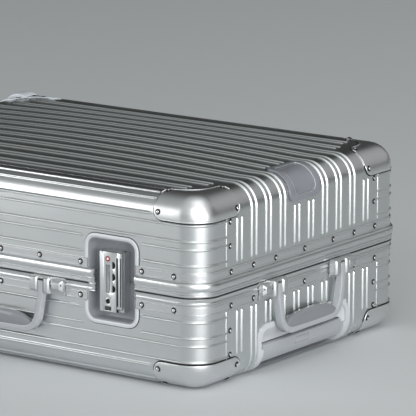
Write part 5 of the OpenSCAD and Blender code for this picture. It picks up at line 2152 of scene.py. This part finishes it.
@dataclass
class Housings(Assembly):
    """The caster housings with a flat tongue on the face, screw heads on black discs that paint the shade of their
    sinks, and a raised strap over the bend.
    """

    def tongue(self) -> bpy.types.Object:
        """The flat tongue on the face at the +Y corner, with screw heads on black discs that paint the shade of their
        sinks.
        """
        c = CASE
        x1, y1, h = c.half_l - c.edge_r, c.half_w - c.edge_r, c.depth + 0.9
        flat = [(-x1 - 4, y1 + 4), (-x1 - 4, y1 - 30), (-x1 + 2, y1 - 33), (-x1 + 6, y1 - 22)]
        flat += [(-x1 + 12, y1 - 12), (-x1 + 22, y1 - 6), (-x1 + 34, y1 - 3), (-x1 + 31, y1 + 4)]
        block = turn_out(outline_block("tongue", [(x, y, h) for x, y in flat], (0, 0, 1.0)))
        parts = [self.finishes.dress(Bench.round_edges(block, 0.5, 3, 20), "housing_plastic")]
        for x, y in ((-x1 + 6, y1 - 0.5), (-x1 + 25, y1 - 0.5), (-x1 + 0.5, y1 - 26)):
            # A flat black disc under each screw head paints the shade of a countersink.
            seat = Bench.rod("seat", (x, y, h + 0.95), "Z", 3.0, 0.3, 24)
            parts.append(self.finishes.dress(seat, "recess_dark"))
            head = Bench.round_edges(Bench.rod("screw", (x, y, h + 0.9), "Z", 1.7, 0.4, 20), 0.12)
            parts.append(self.finishes.dress(head, "pin_steel"))
        return Bench.join("tongue", parts)

    def strap(self, thick: float) -> bpy.types.Object:
        """The raised strap that runs over the bend from the pad to the tongue, on the +Y corner.

        Args:
            thick: How far it stands off the sheet in its middle.

        Returns:
            The strap.
        """
        c = CASE
        low, high = c.bend_h - 2.0, c.bend_h + math.pi / 2 * c.edge_r + 8.0
        places = []
        for k in range(25):
            share = math.sin(math.pi * k / 24) ** 0.45
            rise = thick * share
            spot = Vector((0.9 + rise / 2, 187.0, low + (high - low) * k / 24))
            places.append(ring_place(Vector((0, 13.0, 0)), Vector((rise / 2 + 0.3, 0, 0)), spot))
        piece = wrap_end(Bench.loft("strap", rounded_ring(6.0), places))
        piece.data.transform(Matrix.Diagonal((-1, 1, 1, 1)))
        return self.finishes.dress(turn_out(piece), "housing_plastic")

    def build(self) -> None:
        """Build the housings of both halves."""
        for half, thick in ((Half.LID, 6.3), (Half.BASE, 0.6)):
            word = half.word
            shell = self.soften(f"{word}_wheel_housings", f"{word}_caster_housings", 0.5, 3)
            self.finishes.dress(shell, "housing_plastic")
            one = Bench.join("cover", [self.tongue(), self.strap(thick)])
            pair = Bench.in_half(Bench.join("covers", [one, Bench.mirrored(one, 1)]), half)
            piece = Bench.join(f"{word}_caster_housings", [shell, pair])
            self.put(piece, word, f"{word}_wheel_housings", finish=("housing_plastic",), angle=32)


# ---- fittings whose shape the frame already gives ----


@dataclass(frozen=True)
class Fitting:
    """A node that keeps its shape, with its edges rounded and its finish."""

    node: str
    name: str
    width: float


@dataclass
class Fittings(Assembly):
    """Pins, guides, tubes, hinges and catches."""

    ROWS: tuple[Fitting, ...] = (
        Fitting("handle_pins", "carry_handle_pins", 0.3),
        Fitting("pull_guides", "pull_guide_tubes", 0.4),
        Fitting("pull_stage_one", "pull_tubes_outer", 0.4),
        Fitting("pull_stage_two", "pull_tubes_inner", 0.4),
        Fitting("lid_hinge_leaves", "lid_hinge_plates", 0.4),
        Fitting("base_hinge_leaves", "base_hinge_plates", 0.4),
        Fitting("hinge_pins", "hinge_pin_rods", 0.4),
        Fitting("lock_catches", "latch_catches", 0.5),
    )

    def build(self) -> None:
        """Build every fitting."""
        slots = {s["node"]: s["material_slot"] for s in frame["record"]["subparts"]}
        bodies = {n: body for body, nodes in frame["record"]["behaviour"]["bodies"].items() for n in nodes}
        for row in self.ROWS:
            piece = self.soften(row.node, row.name, row.width)
            self.put(piece, bodies[row.node], row.node, finish=(slots[row.node],), angle=32)


# ---- casters ----


@dataclass
class Casters(Assembly):
    """Four swivel forks with twin wheels."""

    wheel_r: float = 23.0
    wheel_w: float = 10.0
    gap: float = 4.3
    axle: tuple[float, float, float] = (36.0, 11.0, 176.0)

    def wheel(self) -> bpy.types.Object:
        """One wheel lying on the plane y = 0, its outer face towards +Y."""
        r, w = self.wheel_r, self.wheel_w
        tyre = [
            (15.6, 0.3), (20.6, 0.3), (22.2, 1.0), (22.9, 2.4), (r, 4.4), (22.55, 4.8), (22.55, 5.2), (r, 5.6),
            (22.9, w - 2.4), (22.2, w - 1.0), (20.6, w - 0.3), (15.6, w - 0.3),
        ]
        hub = [
            (3.0, 0.4), (15.6, 0.4), (15.6, w - 0.8), (14.6, w - 0.5), (13.6, w - 2.6), (7.4, w - 3.4), (6.6, w - 0.6),
            (5.6, w), (3.0, w),
        ]
        parts = []
        for name, section, finish in (("tyre", tyre, "wheel_rubber"), ("hub", hub, "housing_plastic")):
            ring = Sweep(name, [(a, b, 0.0) for a, b in section], ring=True).follow(
                Arc((0, 0, 0), (0, 1, 0), 360, 48)
            ).done()
            turn_out(ring)
            parts.append(self.finishes.dress(ring, finish))
        for k in range(5):
            rib = Bench.box("rib", (6.5, w - 3.4, -1.1), (15.0, w - 0.9, 1.1))
            rib = Bench.round_edges(rib, 0.5)
            rib.data.transform(Matrix.Rotation(2 * math.pi * k / 5, 4, "Y"))
            parts.append(self.finishes.dress(rib, "housing_plastic"))
        return Bench.join("wheel", parts)

    def build(self) -> None:
        """Build all four casters."""
        wheel = self.wheel()
        for half in Half:
            for side in Side:
                word = f"{half.word}_{side.word}"
                fork = self.soften(f"caster_fork_{word}", f"caster_hood_{word}", 0.8, 3)
                self.put(fork, f"caster_fork_{word}", f"caster_fork_{word}", finish=("housing_plastic",), angle=32)
                swivel_h = half.value * 77.0 + CASE.parting
                spot = Vector((-CASE.half_l - self.axle[0], side.value * self.axle[2], swivel_h - self.axle[1]))
                out = Matrix.Translation(spot + Vector((0, self.gap, 0)))
                back = Matrix.Translation(spot - Vector((0, self.gap, 0))) @ Matrix.Diagonal((1, -1, 1, 1))
                rod = Bench.rod("axle", tuple(spot), "Y", 3.0, 27.0, 24)
                self.finishes.dress(rod, "pin_steel")
                pair = [Bench.twin(wheel, out), Bench.twin(wheel, back), Bench.round_edges(rod, 0.4)]
                piece = Bench.join(f"caster_tyres_{word}", pair)
                self.put(piece, f"caster_wheels_{word}", f"caster_wheels_{word}", finish=("wheel_rubber",), angle=40)
        bpy.data.objects.remove(wheel)


# ---- linings ----


@dataclass
class Lining(Assembly):
    """The cloth lining of one half: a band round the walls, a face panel and the piping between them."""

    half: Half = Half.LID
    inset: float = 3.2
    cloth: float = 0.8
    lock_room: Spot = (43.75, 30.0, 63.5)
    stem: Spot = (11.0, 176.0, 77.0)
    cover_x: tuple[float, float] = (-269.0, 262.0)
    cover_h: tuple[float, float] = (93.0, 117.5)
    cover_y: float = 70.0
    cover_half_w: float = 14.6
    start_h: float = 28.5
    flat: tuple[float, float] = (0.60, 0.78)
    cut_area: float = 0.4226
    recess_area: float = 0.0205

    def band(self) -> bpy.types.Object:
        """The band that lines the walls and their bend."""
        c, u = CASE, -self.inset
        inner_x, inner_y = c.half_l - c.corner_r, c.half_w - c.corner_r
        wall = [(c.half_l + u, self.start_h + (c.bend_h - self.start_h) * k / 6) for k in range(6)]
        bend = arc_points(c.half_l - c.edge_r, c.bend_h, c.edge_r + u, 0, 90, 8)
        section = [(x, 0.0, h) for x, h in [*wall, *bend]]
        turns = corner_arcs(inner_x, inner_y, 8)
        return Sweep("band", section).follow(
            Line((0, inner_y, 0), 12), turns[0], Line((-2 * inner_x, 0, 0), 40), turns[1],
            Line((0, -2 * inner_y, 0), 24), turns[2], Line((2 * inner_x, 0, 0), 40), turns[3],
            Line((0, inner_y, 0), 12),
        ).done()

    def panel(self) -> bpy.types.Object:
        """The panel that lines the face."""
        c = CASE
        a, b = c.half_l - c.edge_r, c.top_y
        line = [(a, -b + 2 * b * k / 26, c.depth - self.inset) for k in range(27)]
        piece = Sweep("panel", line).follow(Line((-2 * a, 0, 0), 38)).done()
        for vert in piece.data.vertices:
            x, y = abs(vert.co.x), abs(vert.co.y)
            over = math.hypot(max(0.0, x - a + 5.0), max(0.0, y - b + 5.0))
            if x > a - 5.0 and y > b - 5.0 and over > 5.0:
                vert.co.x = math.copysign(a - 5 + (x - a + 5) * 5 / over, vert.co.x)
                vert.co.y = math.copysign(b - 5 + (y - b + 5) * 5 / over, vert.co.y)
        return piece

    def slacken(self, piece: bpy.types.Object) -> None:
        """Let the cloth stand off its backing in soft, regular waves."""
        for vert in piece.data.vertices:
            x, y, h = vert.co
            lengthwise = 0.5 * math.sin(0.071 * x + 1.7 * math.sin(0.031 * y))
            wave = 0.5 + lengthwise * math.sin(0.083 * y + 1.3 * math.sin(0.027 * x))
            if h > CASE.depth - self.inset - 0.2:
                edge = min(1.0, (CASE.half_l - CASE.edge_r - abs(x)) / 30, (CASE.top_y - abs(y)) / 30)
                vert.co.z -= 1.6 * wave * max(0.0, edge)

    def piping(self) -> bpy.types.Object:
        """The piping round the face panel."""
        c = CASE
        a, b, h = c.half_l - c.edge_r, c.top_y, c.depth - self.inset - self.cloth - 0.3
        ring = [(a + x, 0.0, h + z) for x, z in arc_points(0, 0, 1.1, 0, 315, 7)]
        turns = corner_arcs(a - 5, b - 5, 5)
        return turn_out(Sweep("piping", ring, ring=True).follow(
            Line((0, b - 5, 0)), turns[0], Line((10 - 2 * a, 0, 0)), turns[1], Line((0, 10 - 2 * b, 0)), turns[2],
            Line((2 * a - 10, 0, 0)), turns[3], Line((0, b - 5, 0)),
        ).done())

    def build(self) -> None:
        """Build the half's lining."""
        c = CASE
        word = self.half.word
        panel = self.panel()
        self.slacken(panel)
        cloth = Bench.join("cloth", [self.band(), panel])
        Bench.weld(cloth, 0.3)
        top = max(cloth.data.polygons, key=lambda f: f.center.z)
        if top.normal.z < 0:
            cloth.data.flip_normals()
        Bench.apply(cloth, "SOLIDIFY", thickness=self.cloth, offset=-1.0)
        w, deep, high = self.lock_room
        for x in (-c.lock_x, c.lock_x):
            Bench.cut(cloth, Bench.box("cut", (x - w, -c.half_w - 5, -5), (x + w, -c.half_w + deep, high)))
        r, y, h = self.stem
        for side in (-1, 1):
            Bench.cut(cloth, Bench.rod("cut", (-c.half_l, side * y, h), "X", r, 80.0, 28))
        extras = [self.finishes.dress(self.piping(), "lining_cloth")]
        if self.half is Half.BASE:
            covers = []
            (x0, x1), (h0, h1), w = self.cover_x, self.cover_h, self.cover_half_w
            for side in (-1, 1):
                y = side * self.cover_y
                cover = Bench.box("cover", (x0, y - w, h0), (x1, y + w, h1))
                covers.append(Bench.round_edges(cover, 4.0, 4))
            extras.append(Bench.join("covers", covers))
            for part in (cloth, *extras):
                room = turn_out(recess_block(grow=-0.6, deep=47.4, front=40.0))
                Bench.apply(
                    part, "BOOLEAN", operation="DIFFERENCE", object=room, solver="EXACT",
                    use_hole_tolerant=True, use_self=True,
                )
                bpy.data.objects.remove(room)
        names = (f"{word}_lining_piping", f"{word}_guide_covers")
        for part, name in zip(extras, names):
            part.name = part.data.name = name
            Bench.in_half(part, self.half)
            self.put(part, word, finish=("lining_cloth",), angle=50)
        cloth.name = cloth.data.name = f"{word}_cloth_lining"
        Bench.in_half(cloth, self.half)
        self.put(cloth, word, f"{word}_lining", finish=("lining_cloth",), angle=50)
        area = self.cut_area - (self.recess_area if self.half is Half.BASE else 0.0)


# ---- studio ----


@dataclass
class Studio:
    """Pale floor, plain backdrop, soft lights and the camera."""

    azimuth: float = 35.472
    elevation: float = 12.275
    lens: float = 338.2
    spot: Spot = (3.007, -3.994, 1.245)
    roll: float = 0.12
    floor_colour: Spot = (0.62, 0.64, 0.655)

    def floor(self) -> None:
        """Lay the floor."""
        Bench.clear()
        bpy.ops.mesh.primitive_plane_add(size=60.0, location=(0, 0, -0.0005))
        floor = bpy.context.object
        floor.name = "floor"
        tree = Tree("floor_paint")
        paint = tree.surface(Base_Color=(*self.floor_colour, 1.0), Roughness=0.9, Specular_IOR_Level=0.1)
        floor.data.materials.append(paint)

    def backdrop(self) -> None:
        """Give the world a plain tone, lighter above than at the horizon."""
        world = bpy.data.worlds.new("studio")
        bpy.context.scene.world = world
        world.use_nodes = True
        nodes, links = world.node_tree.nodes, world.node_tree.links
        nodes.clear()
        spot = nodes.new("ShaderNodeTexCoord")
        lean = nodes.new("ShaderNodeVectorMath")
        lean.operation = "DOT_PRODUCT"
        lean.inputs[1].default_value = (0.40, -0.56, 0.9)
        ramp = nodes.new("ShaderNodeValToRGB")
        shade = nodes.new("ShaderNodeBackground")
        end = nodes.new("ShaderNodeOutputWorld")
        stops = ramp.color_ramp.elements
        stops.new(0.42)
        stops.new(0.6)
        levels = ((0.2, 0.02), (0.42, 0.05), (0.62, 0.4), (1.0, 0.6))
        for stop, (place, level) in zip(stops, levels):
            stop.position, stop.color = place, (0.96 * level, level, 0.99 * level, 1)
        shade.inputs["Strength"].default_value = 1.0
        links.new(spot.outputs["Generated"], lean.inputs[0])
        links.new(lean.outputs["Value"], ramp.inputs[0])
        links.new(ramp.outputs[0], shade.inputs["Color"])
        links.new(shade.outputs[0], end.inputs[0])

    def lamp(self, name: str, spot: Spot, aim: Spot, size: tuple[float, float], power: float) -> None:
        """Hang a soft rectangular lamp.

        Args:
            name: Its name.
            spot: Its place in metres.
            aim: The point that it faces.
            size: Its width and height in metres.
            power: Its power in watts.
        """
        light = bpy.data.lights.new(name, "AREA")
        light.shape, light.size, light.size_y, light.energy = "RECTANGLE", size[0], size[1], power
        lamp = bpy.data.objects.new(name, light)
        bpy.context.scene.collection.objects.link(lamp)
        lamp.visible_camera = False
        lamp.location = spot
        lamp.rotation_euler = (Vector(aim) - Vector(spot)).to_track_quat("-Z", "Y").to_euler()

    def camera(self) -> None:
        """Set up the camera."""
        az, el = math.radians(self.azimuth), math.radians(self.elevation)
        back = Vector((math.sin(az) * math.cos(el), -math.cos(az) * math.cos(el), math.sin(el)))
        data = bpy.data.cameras.new("camera")
        data.lens, data.sensor_width, data.clip_end = self.lens, 36.0, 100.0
        camera = bpy.data.objects.new("camera", data)
        bpy.context.scene.collection.objects.link(camera)
        camera.location = self.spot
        turn = (-back).to_track_quat("-Z", "Y").to_matrix() @ Matrix.Rotation(math.radians(self.roll), 3, "Z")
        camera.rotation_euler = turn.to_euler()
        bpy.context.scene.camera = camera

    def build(self) -> None:
        """Set the stage."""
        bpy.context.scene.view_settings.view_transform = "Standard"
        self.camera()
        self.floor()
        self.backdrop()
        middle = (0.0, 0.0, 0.12)
        self.lamp("left", (-2.6, -2.8, 0.9), middle, (1.6, 1.9), 36)
        self.lamp("front", (3.15, -2.45, 2.1), middle, (4.2, 3.6), 78)
        self.lamp("low", (3.3, -1.8, 0.5), middle, (2.4, 0.8), 54)
        self.lamp("overhead", (1.4, -0.6, 3.6), middle, (2.2, 2.2), 14)
        self.lamp("back", (1.35, 3.15, 1.7), middle, (3.4, 2.4), 10)


def main() -> None:
    """Build every sub-assembly in order."""
    logging.basicConfig(level=logging.INFO, format="%(message)s")
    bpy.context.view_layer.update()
    finishes = Finishes()
    finishes.dress_cad()
    Studio().build()
    for half in Half:
        Shell(finishes, half).build()
    Frames(finishes).build()
    Rivets(finishes).build()
    Caps(finishes).build()
    Badge(finishes).build()
    LockPans(finishes).build()
    for word, x in (("left", -CASE.lock_x), ("right", CASE.lock_x)):
        Lock(finishes, word, x).build()
    CarryHandles(finishes).build()
    Recess(finishes).build()
    Housings(finishes).build()
    Fittings(finishes).build()
    Casters(finishes).build()
    for half in Half:
        Lining(finishes, half).build()


if __name__ == "__main__":
    main()
